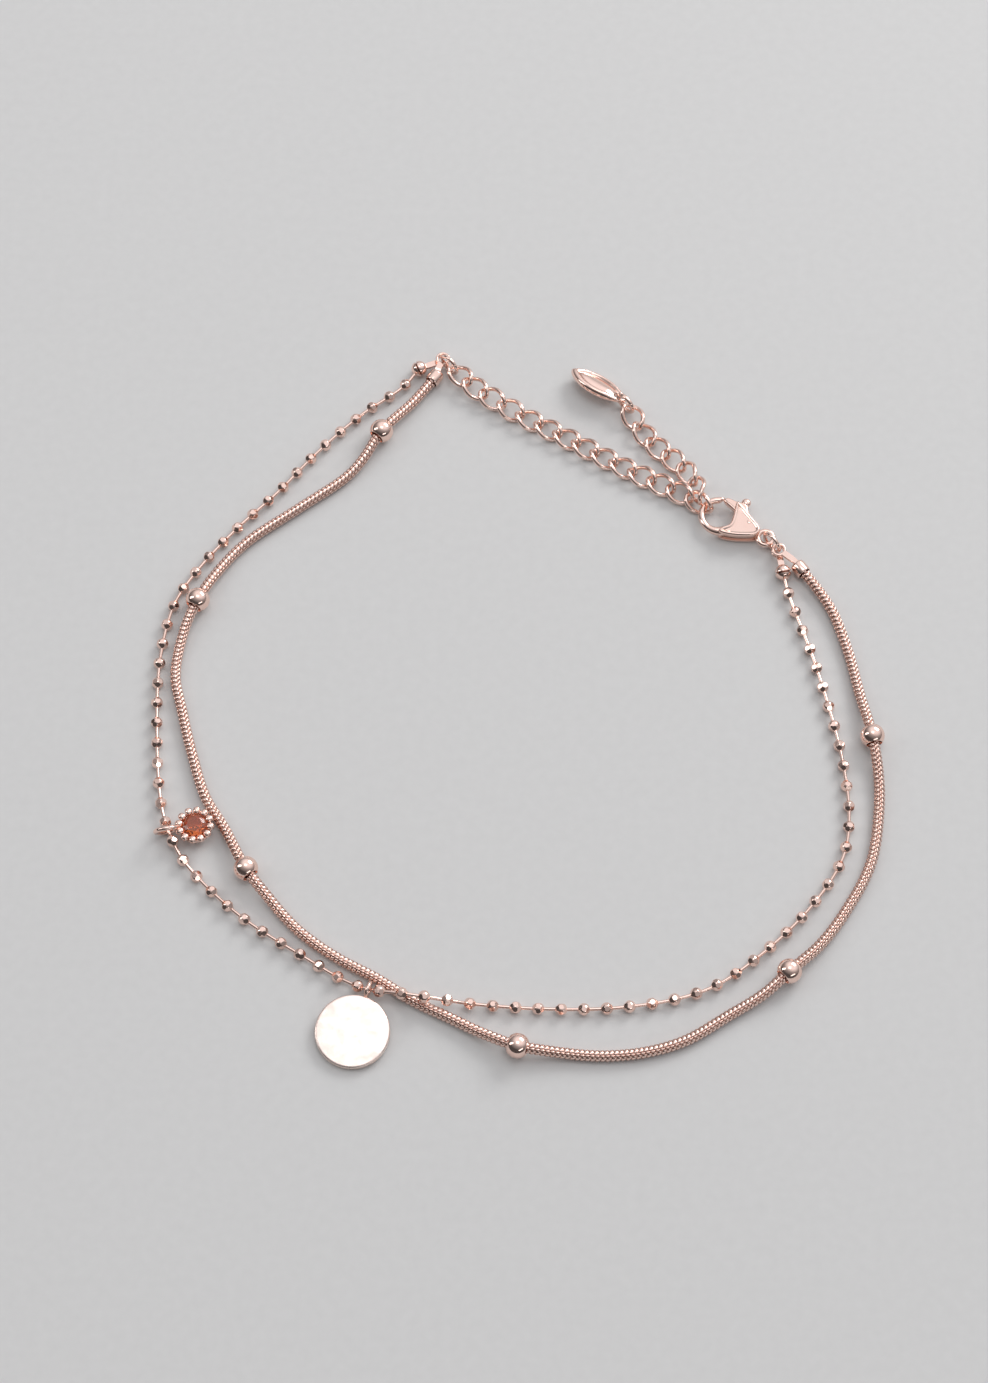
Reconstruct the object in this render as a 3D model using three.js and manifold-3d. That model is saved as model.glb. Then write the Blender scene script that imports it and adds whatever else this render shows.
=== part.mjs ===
// Charm anklet in rose gold, laid out as a closed loop on a table. Millimetres, +Z up, table at z = 0.
// A ball chain and a snake chain with six round beads meet in a jump ring at each end. The lobster clasp
// on the right is hooked into the extension chain that comes from the left.
import * as THREE from "three";
import { mergeVertices } from "three/addons/utils/BufferGeometryUtils.js";
import Module from "manifold-3d";

const wasm = await Module();
wasm.setup();

// Strands
const BALL = { radius: 0.65, rod: 0.22, count: 78, leftCount: 36, endGap: 2.6, sides: 10 };
const SNAKE = { radius: 0.6, sides: 10, steps: 38, seam: 0.1 };
const BEAD = { radius: 1.35, bore: 0.86, sides: 14, arcSteps: 5 };

// Ends of the strands: a round cap on the ball chain, a sleeve on the snake chain, each with a drilled tab
const BALL_CAP = { radius: 0.92, bore: 0.4, tabHeight: 0.92 };
const SLEEVE = { radius: 0.85, bore: 0.71, length: 1.6, floor: 0.45, tabHeight: 1.44 };
const TAB = { eye: 0.82, hole: 0.54, neck: 0.36, thickness: 0.34 };

// Rings and links
const JUMP = { radius: 1.2, wire: 0.22, height: 1.43, eyeOut: 1.13, claspOut: 1.09 };
const LINK = { half: 1.64, side: 1.12, wire: 0.25, pitch: 2.475, twist: 45, segments: 12, sides: 5 };
const TAIL_RING = { radius: 1.15, wire: 0.26 };

// Charms
const DISC = { radius: 4.0, thickness: 0.8, chamfer: 0.14, sides: 32, ringOut: 0.87 };
const DISC_RING = { radius: 0.7, wire: 0.25 };
const SETTING = { baseRadius: 1.4, topRadius: 1.95, wall: 0.36, height: 1.55, prongs: 12, prong: 0.33 };
const SETTING_RING = { radius: 1.22, wire: 0.27, out: 3.05 };
const STONE = { girdle: 1.42, table: 0.82, crown: 0.42, pavilion: 0.85, girdleHeight: 1.62, sides: 12 };
const DROP = { length: 5.8, halfWidth: 1.7, thickness: 0.95, recess: 0.35, eye: 0.97, eyeHole: 0.6 };

// Lobster clasp, drawn with its end ring at the origin, the hook along +x and the lever on the +y side
const CLASP = { half: 0.95, slot: 0.45, ring: 0.87, ringWire: 0.29, hookX: 5.9, hookRadius: 2.0, hookWire: 0.39 };
const LEVER = { half: 0.34, pivotX: 2.4, pivotY: 0.6, hub: 0.62, bore: 0.43, pin: 0.3, reach: 4.16, gap: 0.14 };

// Plan routes, a point every centimetre or less
const BALL_ROUTE = [
  [-11.0, 42.2], [-12.7, 40.0], [-17.7, 36.1], [-22.6, 31.2], [-27.0, 26.0], [-31.7, 21.1], [-35.9, 15.8],
  [-38.2, 11.7], [-39.5, 4.9], [-39.4, -5.1], [-38.6, -12.7], [-37.5, -16.3], [-35.6, -19.7], [-29.9, -25.4],
  [-23.3, -29.9], [-16.4, -33.9], [-11.6, -35.0], [-6.7, -35.5], [3.0, -36.2], [10.4, -36.1], [17.4, -35.0],
  [21.6, -33.4], [27.0, -29.4], [31.7, -24.7], [35.3, -19.3], [36.3, -15.0], [36.0, -7.9], [33.6, 3.7],
  [30.8, 13.1], [30.3, 15.6],
];
const SNAKE_ROUTE = [
  [-9.2, 41.0], [-11.6, 37.8], [-15.2, 33.7], [-17.4, 30.1], [-19.2, 28.0], [-24.5, 24.0], [-30.2, 19.7],
  [-33.0, 16.4], [-35.5, 12.0], [-37.0, 8.0], [-37.7, 2.9], [-36.8, -1.4], [-35.4, -6.9], [-33.8, -11.8],
  [-31.6, -15.5], [-29.1, -20.4], [-26.7, -23.5], [-23.3, -27.3], [-19.3, -30.3], [-14.6, -32.9],
  [-11.2, -35.1], [-7.0, -37.2], [-2.9, -39.3], [0.1, -40.5], [4.5, -41.1], [9.2, -41.4], [13.6, -41.0],
  [17.9, -39.7], [22.6, -36.9], [26.5, -34.5], [29.1, -32.2], [32.4, -29.2], [35.5, -25.1], [38.5, -19.5],
  [39.7, -13.0], [39.8, -9.4], [39.3, -4.8], [38.3, 0.1], [37.2, 5.8], [35.6, 10.9], [34.0, 13.7],
  [32.3, 16.05],
];
const CHAIN_ROUTE = [
  [-6.25, 41.25], [-4.2, 39.35], [-0.4, 36.8], [6.2, 33.0], [12.5, 29.25], [18.8, 25.8], [21.4, 24.2],
];
const TAIL_ROUTE = [
  [20.7, 24.15], [20.9, 25.85], [19.75, 28.4], [18.2, 30.2], [16.4, 31.9], [14.7, 34.1], [12.6, 37.9],
];

// Places along the snake route of the six beads, and along the ball route where it is lifted
const BEAD_PLACES = [9.5, 39.7, 74.2, 110.2, 141.75, 172.6];
const STONE_PLACE = 27.5;
const DISC_PLACE = 39.5;
const CROSSING = 41.35;

// Rolls of the links about the chain, in degrees, and the humps where the chain does not lie flat
const LINK_REST = 0.685;
const CHAIN_ROLLS = [0, 12, 25, 12, 0, 0, 0, 0, 0, 0, 8, 18, 30, 43];
const CHAIN_HUMPS = [
  { place: 0, lift: 0.42, reach: 3 },
  { place: 4.9, lift: 0.35, reach: 3.2 },
  { place: 32.2, lift: 0.42, reach: 5 },
];
const TAIL_ROLLS = [-55, -44, -30, -15, 0, -12];
const TAIL_HUMPS = [
  { place: 1.7, lift: 0.82, reach: 4 },
  { place: 8.2, lift: 0.1, reach: 3 },
  { place: 15.6, lift: 0.4, reach: 3 },
];
const TAIL_START = 1.7;

const UP = new THREE.Vector3(0, 0, 1);
const degrees = THREE.MathUtils.degToRad;

const gold = new THREE.MeshStandardMaterial({ color: 0xdca58c, metalness: 1, roughness: 0.18 });
const satin = new THREE.MeshStandardMaterial({ color: 0xe3b09a, metalness: 1, roughness: 0.3 });
const red = new THREE.MeshStandardMaterial({ color: 0xa8321f, metalness: 0, roughness: 0.05 });

// A closed geometry as a solid for joining and cutting, and back again
function solid(geometry) {
  const bare = geometry.clone();
  bare.deleteAttribute("normal");
  bare.deleteAttribute("uv");
  const merged = mergeVertices(bare, 1e-4);
  const vertProperties = new Float32Array(merged.attributes.position.array);
  const triVerts = new Uint32Array(merged.index.array);
  return new wasm.Manifold(new wasm.Mesh({ numProp: 3, vertProperties, triVerts }));
}

function geometryOf(shape) {
  const { vertProperties, triVerts } = shape.getMesh();
  const geometry = new THREE.BufferGeometry();
  geometry.setAttribute("position", new THREE.BufferAttribute(vertProperties, 3));
  geometry.setIndex(new THREE.BufferAttribute(triVerts, 1));
  return geometry;
}

function joined(...geometries) {
  return geometries.map(solid).reduce((whole, next) => whole.add(next));
}

// Turns an object so that its x axis points forward and its z axis stays near up
function pose(object, origin, forward, up = UP) {
  const x = forward.clone().normalize();
  const y = new THREE.Vector3().crossVectors(up, x).normalize();
  const z = new THREE.Vector3().crossVectors(x, y);
  object.position.copy(origin);
  object.quaternion.setFromRotationMatrix(new THREE.Matrix4().makeBasis(x, y, z));
  return object;
}

const anklet = new THREE.Group();
function piece(name, geometry, material, parent = anklet) {
  const mesh = new THREE.Mesh(geometry, material);
  mesh.name = name;
  parent.add(mesh);
  return mesh;
}

// A strand laid on the table: a smooth plan route, lifted by smooth humps where it rides over something
class LaidStrand extends THREE.Curve {
  constructor(route, rest, humps = []) {
    super();
    this.plan = new THREE.CatmullRomCurve3(route.map(([x, y]) => new THREE.Vector3(x, y, 0)));
    this.plan.arcLengthDivisions = 2000;
    this.span = this.plan.getLength();
    this.rest = rest;
    this.humps = humps;
  }

  at(along) {
    const point = this.plan.getPointAt(THREE.MathUtils.clamp(along / this.span, 0, 1));
    point.z = this.rest;
    for (const { place, lift, reach } of this.humps) {
      point.z += lift * Math.exp(-(((along - place) / reach) ** 2));
    }
    return point;
  }

  heading(along) {
    const ahead = this.at(Math.min(along + 0.05, this.span));
    return ahead.sub(this.at(Math.max(along - 0.05, 0))).normalize();
  }

  getPoint(t) {
    return this.at(t * this.span);
  }
}

// One stretch of a strand, between two places along it
class Stretch extends THREE.Curve {
  constructor(strand, from, to) {
    super();
    Object.assign(this, { strand, from, to });
  }

  getPoint(t) {
    return this.strand.at(THREE.MathUtils.lerp(this.from, this.to, t));
  }
}

// A closed skin round a row of rings, each with a centre, a heading and a radius
function ringSkin(rings, sides) {
  const positions = [];
  const index = [];
  for (const { centre, heading, radius } of rings) {
    const side = new THREE.Vector3().crossVectors(heading, UP).normalize();
    const lift = new THREE.Vector3().crossVectors(side, heading);
    for (let k = 0; k < sides; k += 1) {
      const angle = (2 * Math.PI * k) / sides;
      const point = centre.clone();
      point.addScaledVector(side, radius * Math.cos(angle));
      point.addScaledVector(lift, radius * Math.sin(angle));
      positions.push(point.x, point.y, point.z);
    }
  }
  for (let ring = 0; ring < rings.length - 1; ring += 1) {
    for (let k = 0; k < sides; k += 1) {
      const a = ring * sides + k;
      const c = ring * sides + ((k + 1) % sides);
      index.push(a, a + sides, c, a + sides, c + sides, c);
    }
  }
  const last = (rings.length - 1) * sides;
  for (let k = 1; k < sides - 1; k += 1) {
    index.push(0, k, k + 1, last, last + k + 1, last + k);
  }
  const geometry = new THREE.BufferGeometry();
  geometry.setAttribute("position", new THREE.Float32BufferAttribute(positions, 3));
  geometry.setIndex(index);
  return geometry;
}

// Ball chain: balls on thin rods, in two halves that meet in the middle of a rod
const ballPlan = new LaidStrand(BALL_ROUTE, BALL.radius);
const ballPitch = (ballPlan.span - 2 * BALL.endGap) / (BALL.count - 1);
const ballPlace = (number) => BALL.endGap + number * ballPitch;
const ballStrand = new LaidStrand(BALL_ROUTE, BALL.radius, [
  { place: 0, lift: BALL_CAP.radius - BALL.radius, reach: 3 },
  { place: ballPlace(STONE_PLACE), lift: 0.4, reach: 2.2 },
  { place: ballPlace(CROSSING), lift: 1.38, reach: 4.5 },
  { place: ballPlan.span, lift: BALL_CAP.radius - BALL.radius, reach: 3 },
]);

const BALL_PROFILE = [
  { offset: -0.61, radius: BALL.rod },
  { offset: -0.3, radius: 0.58 },
  { offset: 0.3, radius: 0.58 },
  { offset: 0.61, radius: BALL.rod },
];

function ballHalf(first, count, start, end) {
  const ring = (along, radius) => ({
    centre: ballStrand.at(along),
    heading: ballStrand.heading(along),
    radius,
  });
  const rings = [ring(start, BALL.rod)];
  for (let ball = first; ball < first + count; ball += 1) {
    for (const { offset, radius } of BALL_PROFILE) {
      rings.push(ring(ballPlace(ball) + offset, radius));
    }
  }
  rings.push(ring(end, BALL.rod));
  return ringSkin(rings, BALL.sides);
}

const ballMeeting = ballPlace(BALL.leftCount - 0.5);
const rodStart = BALL_CAP.radius - 0.35;
const rightCount = BALL.count - BALL.leftCount;
piece("ball_chain_left", ballHalf(0, BALL.leftCount, rodStart, ballMeeting - 0.05), gold);
piece(
  "ball_chain_right",
  ballHalf(BALL.leftCount, rightCount, ballMeeting + 0.05, ballPlan.span - rodStart),
  gold,
);

// Snake chain: a round tube that lies on the table and rises into each bead
const snakeEnd = new LaidStrand(SNAKE_ROUTE, SNAKE.radius).span;
const snakeStrand = new LaidStrand(SNAKE_ROUTE, SNAKE.radius, [
  { place: 0, lift: SLEEVE.radius - SNAKE.radius, reach: 5 },
  ...BEAD_PLACES.map((place) => ({ place, lift: BEAD.radius - SNAKE.radius, reach: 4.5 })),
  { place: snakeEnd, lift: SLEEVE.radius - SNAKE.radius, reach: 5 },
]);
const snakeSection = new THREE.Shape();
snakeSection.absarc(0, 0, SNAKE.radius, 0, 2 * Math.PI);

function snakeHalf(from, to) {
  const extrudePath = new Stretch(snakeStrand, from, to);
  const options = { extrudePath, steps: SNAKE.steps, bevelEnabled: false, curveSegments: SNAKE.sides / 2 };
  return new THREE.ExtrudeGeometry(snakeSection, options);
}

const snakeMeeting = BEAD_PLACES[3];
piece("snake_chain_left", snakeHalf(0.1, snakeMeeting - SNAKE.seam), gold);
piece("snake_chain_right", snakeHalf(snakeMeeting + SNAKE.seam, snakeEnd - 0.1), gold);

// Round beads, drilled for the snake chain
function drilledBead() {
  const edge = Math.asin(BEAD.bore / BEAD.radius);
  const profile = [];
  for (let step = 0; step <= BEAD.arcSteps; step += 1) {
    const angle = THREE.MathUtils.lerp(Math.PI - edge, edge, step / BEAD.arcSteps);
    profile.push(new THREE.Vector2(BEAD.radius * Math.sin(angle), BEAD.radius * Math.cos(angle)));
  }
  profile.push(profile[0].clone());
  return new THREE.LatheGeometry(profile, BEAD.sides).rotateZ(-Math.PI / 2);
}

BEAD_PLACES.forEach((place, number) => {
  const bead = piece(`round_bead_${number + 1}`, drilledBead(), gold);
  pose(bead, snakeStrand.at(place), snakeStrand.heading(place));
});

// A flat tab with a round eye at the origin, running along -x to its root
function tab(rootLength, height) {
  const shape = new THREE.Shape();
  const turn = Math.asin(TAB.neck / TAB.eye);
  shape.absarc(0, 0, TAB.eye, Math.PI + turn, 3 * Math.PI - turn);
  shape.lineTo(-rootLength, TAB.neck);
  shape.lineTo(-rootLength, -TAB.neck);
  const hole = new THREE.Path();
  hole.absarc(0, 0, TAB.hole, 0, 2 * Math.PI, true);
  shape.holes.push(hole);
  const options = { depth: TAB.thickness, bevelEnabled: false, curveSegments: 6 };
  return new THREE.ExtrudeGeometry(shape, options).translate(0, 0, height - TAB.thickness / 2);
}

// The caps are drawn in the table's frame: a body at its centre and a tab that reaches the eye
function cap(body, centre, eye, tabHeight) {
  const reach = Math.hypot(eye[0] - centre.x, eye[1] - centre.y);
  const heading = Math.atan2(eye[1] - centre.y, eye[0] - centre.x);
  const plate = tab(reach - 0.2, tabHeight).rotateZ(heading).translate(eye[0], eye[1], 0);
  return body.add(solid(plate));
}

function ballCap(along, outward, eye) {
  const centre = ballStrand.at(along);
  const ball = new THREE.SphereGeometry(BALL_CAP.radius, 12, 7).rotateX(Math.PI / 2);
  const bore = new THREE.CylinderGeometry(BALL_CAP.bore, BALL_CAP.bore, 2, 10);
  const mouth = outward.clone().multiplyScalar(1.35);
  bore.applyQuaternion(new THREE.Quaternion().setFromUnitVectors(new THREE.Vector3(0, 1, 0), outward));
  bore.translate(mouth.x, mouth.y, mouth.z);
  const shell = solid(ball).subtract(solid(bore));
  return geometryOf(cap(shell.translate(centre.toArray()), centre, eye, BALL_CAP.tabHeight));
}

function sleeve(along, outward, eye) {
  const { radius, bore, length, floor, tabHeight } = SLEEVE;
  const centre = snakeStrand.at(along).addScaledVector(outward, -floor);
  const profile = [
    new THREE.Vector2(0, -floor),
    new THREE.Vector2(radius - 0.2, -floor),
    new THREE.Vector2(radius, -floor + 0.2),
    new THREE.Vector2(radius, length - floor),
    new THREE.Vector2(bore, length - floor),
    new THREE.Vector2(bore, floor - 0.1),
    new THREE.Vector2(0, floor - 0.1),
  ];
  const cup = new THREE.LatheGeometry(profile, 14);
  cup.applyQuaternion(new THREE.Quaternion().setFromUnitVectors(new THREE.Vector3(0, 1, 0), outward));
  return geometryOf(cap(solid(cup).translate(centre.toArray()), centre, eye, tabHeight));
}

// Jump rings stand on edge and hold the tabs of both strands
function standingRing(name, centre, direction, { radius, wire }) {
  const ring = piece(name, new THREE.TorusGeometry(radius, wire, 6, 12).rotateX(Math.PI / 2), gold);
  return pose(ring, centre, direction);
}

const leftRing = new THREE.Vector3(-7.45, 42.45, JUMP.height);
const leftHeading = new THREE.Vector3(1, -1, 0).normalize();
const rightRing = new THREE.Vector3(29.15, 19.1, JUMP.height);
const rightHeading = new THREE.Vector3(0.63, -0.777, 0).normalize();
const eyeAt = (ring, heading, offset) => [ring.x + heading.x * offset, ring.y + heading.y * offset];
const leftEye = eyeAt(leftRing, leftHeading, -JUMP.eyeOut);
const rightEye = eyeAt(rightRing, rightHeading, JUMP.eyeOut);

standingRing("jump_ring_left", leftRing, leftHeading, JUMP);
standingRing("jump_ring_right", rightRing, rightHeading, JUMP);
piece("ball_end_left", ballCap(0, ballStrand.heading(0.1), leftEye), gold);
piece("ball_end_right", ballCap(ballPlan.span, ballStrand.heading(ballPlan.span - 0.1).negate(), rightEye), gold);
piece("snake_end_left", sleeve(0, snakeStrand.heading(0.1), leftEye), gold);
piece("snake_end_right", sleeve(snakeEnd, snakeStrand.heading(snakeEnd - 0.1).negate(), rightEye), gold);

// Extension chain: oval links, each twisted so that a row of them lies flat and interlocks
class TwistedOval extends THREE.Curve {
  getPoint(t) {
    const angle = 2 * Math.PI * t;
    const turn = degrees(LINK.twist) * Math.cos(angle);
    const reach = LINK.side * Math.sin(angle);
    return new THREE.Vector3(LINK.half * Math.cos(angle), reach * Math.cos(turn), reach * Math.sin(turn));
  }
}

const linkGeometry = new THREE.TubeGeometry(new TwistedOval(), LINK.segments, LINK.wire, LINK.sides, true);

function layLinks(route, humps, rolls, start, label) {
  const plan = new LaidStrand(route, LINK_REST, humps);
  rolls.forEach((roll, number) => {
    const along = start + number * LINK.pitch;
    const heading = plan.heading(along);
    const up = UP.clone().applyAxisAngle(heading, degrees(roll));
    pose(piece(label(number + 1), linkGeometry.clone(), gold), plan.at(along), heading, up);
  });
  return plan;
}

layLinks(CHAIN_ROUTE, CHAIN_HUMPS, CHAIN_ROLLS, 0, (n) => `chain_link_${String(n).padStart(2, "0")}`);
const tailPlan = layLinks(TAIL_ROUTE, TAIL_HUMPS, TAIL_ROLLS, TAIL_START, (n) => `tail_link_${n}`);

// End drop: an almond plate with a raised rim and a low dome, tilted on its ring
function almond(scale) {
  const half = (DROP.length / 2) * scale;
  const shape = new THREE.Shape();
  shape.moveTo(-half, 0);
  shape.quadraticCurveTo(0, -2 * DROP.halfWidth * scale, half, 0);
  shape.quadraticCurveTo(0, 2 * DROP.halfWidth * scale, -half, 0);
  return shape;
}

const plateOptions = { depth: DROP.thickness, bevelEnabled: false, curveSegments: 8 };
const almondMid = DROP.length / 2 + DROP.eyeHole + 0.12;
const dropPlate = new THREE.ExtrudeGeometry(almond(1), plateOptions);
dropPlate.translate(almondMid, 0, -DROP.thickness / 2);
const dropRecess = new THREE.ExtrudeGeometry(almond(0.74), plateOptions);
dropRecess.translate(almondMid, 0, DROP.thickness / 2 - DROP.recess);
const dropDome = new THREE.SphereGeometry(1, 12, 6).scale(1.5, 0.75, 0.42);
dropDome.translate(almondMid, 0, DROP.thickness / 2 - DROP.recess);
const eyeShape = new THREE.Shape();
eyeShape.absarc(0, 0, DROP.eye, 0, 2 * Math.PI);
const eyeHole = new THREE.Path();
eyeHole.absarc(0, 0, DROP.eyeHole, 0, 2 * Math.PI, true);
eyeShape.holes.push(eyeHole);
const dropEye = new THREE.ExtrudeGeometry(eyeShape, { depth: 0.5, bevelEnabled: false, curveSegments: 7 });
dropEye.translate(0, 0, -0.25);
const eyeCut = new THREE.CylinderGeometry(DROP.eyeHole, DROP.eyeHole, 3, 14).rotateX(Math.PI / 2);
const dropSolid = solid(dropPlate).subtract(solid(dropRecess)).add(solid(dropDome));
const dropWhole = dropSolid.subtract(solid(eyeCut)).add(solid(dropEye));

const lastLink = TAIL_START + (TAIL_ROLLS.length - 1) * LINK.pitch;
const tailRing = tailPlan.at(lastLink).addScaledVector(tailPlan.heading(lastLink), LINK.half + 0.1);
tailRing.z = TAIL_RING.radius + TAIL_RING.wire;
const dropHeading = new THREE.Vector3(-0.83, 0.56, 0).normalize();
const tailRingHeading = new THREE.Vector3(-0.67, 0.743, 0).normalize();
standingRing("tail_ring", tailRing, tailRingHeading, TAIL_RING);
const dropEyeCentre = tailRing.clone().addScaledVector(tailRingHeading, TAIL_RING.radius + 0.04).setZ(1.25);
const dropUp = UP.clone().applyAxisAngle(dropHeading, degrees(28));
pose(piece("end_drop", geometryOf(dropWhole), gold), dropEyeCentre, dropHeading, dropUp);

// Disc charm: a plain round plate with a ring soldered on edge to its rim, hung on a rod of the ball chain
const { radius: discR, thickness: discT, chamfer: discC } = DISC;
const discProfile = [
  new THREE.Vector2(0, -discT / 2),
  new THREE.Vector2(discR - discC, -discT / 2),
  new THREE.Vector2(discR, -discT / 2 + discC),
  new THREE.Vector2(discR, discT / 2 - discC),
  new THREE.Vector2(discR - discC, discT / 2),
  new THREE.Vector2(0, discT / 2),
];
const discPlate = new THREE.LatheGeometry(discProfile, DISC.sides).rotateX(Math.PI / 2);
const discRing = new THREE.TorusGeometry(DISC_RING.radius, DISC_RING.wire, 6, 12).rotateY(Math.PI / 2);
discRing.translate(0, discR + DISC.ringOut, 0);
const disc = piece("disc_charm", geometryOf(joined(discPlate, discRing)), satin);
const discTilt = degrees(4.6);
const discRod = ballStrand.at(ballPlace(DISC_PLACE));
const discHang = new THREE.Vector3(-0.329, -0.945, 0).normalize();
const discHeading = new THREE.Vector3().crossVectors(UP, discHang).normalize();
const discUp = UP.clone().applyAxisAngle(discHeading, discTilt);
const discCentre = discRod.clone().addScaledVector(discHang, discR + DISC.ringOut);
discCentre.z = (discR - discC) * Math.sin(discTilt) + (discT / 2) * Math.cos(discTilt);
pose(disc, discCentre, discHeading, discUp);

// Stone charm: a pierced conical setting with bead prongs and a ring soldered to its side
const settingProfile = [
  new THREE.Vector2(SETTING.baseRadius - SETTING.wall, 0),
  new THREE.Vector2(SETTING.baseRadius, 0),
  new THREE.Vector2(SETTING.topRadius, SETTING.height),
  new THREE.Vector2(SETTING.topRadius - SETTING.wall, SETTING.height),
  new THREE.Vector2(SETTING.baseRadius - SETTING.wall, 0),
];
let setting = solid(new THREE.LatheGeometry(settingProfile, 18).rotateX(Math.PI / 2));
for (let window = 0; window < 6; window += 1) {
  const cut = new THREE.CylinderGeometry(0.4, 0.4, 2, 6).rotateZ(Math.PI / 2);
  cut.translate(2, 0, 0.75).rotateZ((Math.PI * (2 * window + 1)) / 6);
  setting = setting.subtract(solid(cut));
}
const settingRing = new THREE.TorusGeometry(SETTING_RING.radius, SETTING_RING.wire, 5, 12).rotateX(Math.PI / 2);
settingRing.translate(-SETTING_RING.out, 0, SETTING_RING.radius + SETTING_RING.wire);
const boreCone = new THREE.CylinderGeometry(
  SETTING.topRadius - SETTING.wall, SETTING.baseRadius - SETTING.wall, SETTING.height, 18,
).rotateX(Math.PI / 2).translate(0, 0, SETTING.height / 2);
setting = setting.add(solid(settingRing).subtract(solid(boreCone)));
for (let prong = 0; prong < SETTING.prongs; prong += 1) {
  const bead = new THREE.SphereGeometry(SETTING.prong, 6, 4).rotateX(Math.PI / 2);
  const angle = (2 * Math.PI * (prong + 0.5)) / SETTING.prongs;
  bead.translate(SETTING.topRadius - 0.14, 0, SETTING.height + 0.1).rotateZ(angle);
  setting = setting.add(solid(bead));
}
const charm = new THREE.Group();
anklet.add(charm);
pose(charm, new THREE.Vector3(-34.75, -15.55, 0), new THREE.Vector3(0.98, 0.17, 0));
piece("stone_setting", geometryOf(setting), gold, charm);

const stoneProfile = [
  new THREE.Vector2(0, -STONE.pavilion),
  new THREE.Vector2(STONE.girdle, -0.05),
  new THREE.Vector2(STONE.girdle, 0.05),
  new THREE.Vector2(STONE.table, STONE.crown),
  new THREE.Vector2(0, STONE.crown),
];
const stoneGeometry = new THREE.LatheGeometry(stoneProfile, STONE.sides).rotateX(Math.PI / 2);
piece("stone", stoneGeometry, red, charm).position.z = STONE.girdleHeight;

// Lobster clasp: two cheeks on a spine, a round hook, an end ring and the lever's pin
const clasp = new THREE.Group();
anklet.add(clasp);
const claspUp = new THREE.Vector3(0, 0, -1);
const claspEnd = rightRing.clone().addScaledVector(rightHeading, -JUMP.claspOut).setZ(CLASP.half);
pose(clasp, claspEnd, new THREE.Vector3(-0.875, 0.485, 0), claspUp);

function plate(points, from, to) {
  const shape = new THREE.Shape(points.map(([x, y]) => new THREE.Vector2(x, y)));
  return new THREE.ExtrudeGeometry(shape, { depth: to - from, bevelEnabled: false }).translate(0, 0, from);
}

class HookArc extends THREE.Curve {
  getPoint(t) {
    const angle = THREE.MathUtils.lerp(degrees(-135), degrees(84), t);
    const { hookX, hookRadius } = CLASP;
    return new THREE.Vector3(hookX + hookRadius * Math.cos(angle), hookRadius * Math.sin(angle), 0);
  }
}

const CHEEK = [
  [0.8, -0.5], [1.9, -1.2], [3.2, -1.85], [4.5, -2.25], [5.1, -2.1], [4.75, -1.35], [4.15, -0.75],
  [4.35, 0.4], [4.95, 2.35], [4.5, 2.3], [2.6, 1.35], [0.8, 0.5],
];
const SPINE = [
  [0.8, -0.5], [1.9, -1.2], [3.2, -1.85], [4.5, -2.25], [5.1, -2.1], [4.75, -1.35], [4.15, -0.75],
  [2.6, -0.4], [1.6, -0.15], [1.35, 0.5], [1.1, 0.62], [0.8, 0.5],
];
const hookShape = new THREE.Shape();
hookShape.absarc(0, 0, CLASP.hookWire, 0, 2 * Math.PI);
const hookOptions = { extrudePath: new HookArc(), steps: 16, bevelEnabled: false, curveSegments: 4 };
const hook = new THREE.ExtrudeGeometry(hookShape, hookOptions);
const sweepShape = new THREE.Shape();
sweepShape.absarc(LEVER.pivotX, LEVER.pivotY, LEVER.reach + LEVER.gap, degrees(2), degrees(50));
sweepShape.lineTo(LEVER.pivotX, LEVER.pivotY);
const sweepOptions = { depth: 2, bevelEnabled: false, curveSegments: 8 };
const leverSweep = new THREE.ExtrudeGeometry(sweepShape, sweepOptions).translate(0, 0, -1);
const pin = new THREE.CylinderGeometry(LEVER.pin, LEVER.pin, 2 * CLASP.half, 10).rotateX(Math.PI / 2);
pin.translate(LEVER.pivotX, LEVER.pivotY, 0);
const endRing = new THREE.TorusGeometry(CLASP.ring, CLASP.ringWire, 6, 14);
const claspBody = solid(hook)
  .subtract(solid(leverSweep))
  .add(solid(plate(CHEEK, CLASP.slot, CLASP.half)))
  .add(solid(plate(CHEEK, -CLASP.half, -CLASP.slot)))
  .add(solid(plate(SPINE, -CLASP.slot - 0.05, CLASP.slot + 0.05)))
  .add(solid(endRing))
  .add(solid(pin));
piece("clasp_body", geometryOf(claspBody), gold, clasp);

// The lever turns on the pin; its end closes against the tip of the hook, its knob is pressed by the thumb
const leverShape = new THREE.Shape();
const { pivotX, pivotY, hub } = LEVER;
leverShape.moveTo(pivotX + hub * Math.cos(degrees(-30)), pivotY + hub * Math.sin(degrees(-30)));
leverShape.lineTo(4.5, 1.3);
leverShape.lineTo(6.36, 1.8);
leverShape.lineTo(6.26, 2.18);
leverShape.lineTo(6.1, 2.5);
leverShape.lineTo(4.75, 2.5);
leverShape.absarc(3.95, 2.95, 0.55, degrees(-20), degrees(215));
leverShape.lineTo(3.3, 2.05);
leverShape.absarc(pivotX, pivotY, hub, degrees(115), degrees(330));
const leverBore = new THREE.Path();
leverBore.absarc(pivotX, pivotY, LEVER.bore, 0, 2 * Math.PI, true);
leverShape.holes.push(leverBore);
const leverOptions = { depth: 2 * LEVER.half, bevelEnabled: false, curveSegments: 6 };
const lever = new THREE.ExtrudeGeometry(leverShape, leverOptions).translate(0, 0, -LEVER.half);
piece("clasp_lever", lever, gold, clasp);

anklet.position.set(-0.2, -0.75, 0);

export default anklet;
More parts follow.
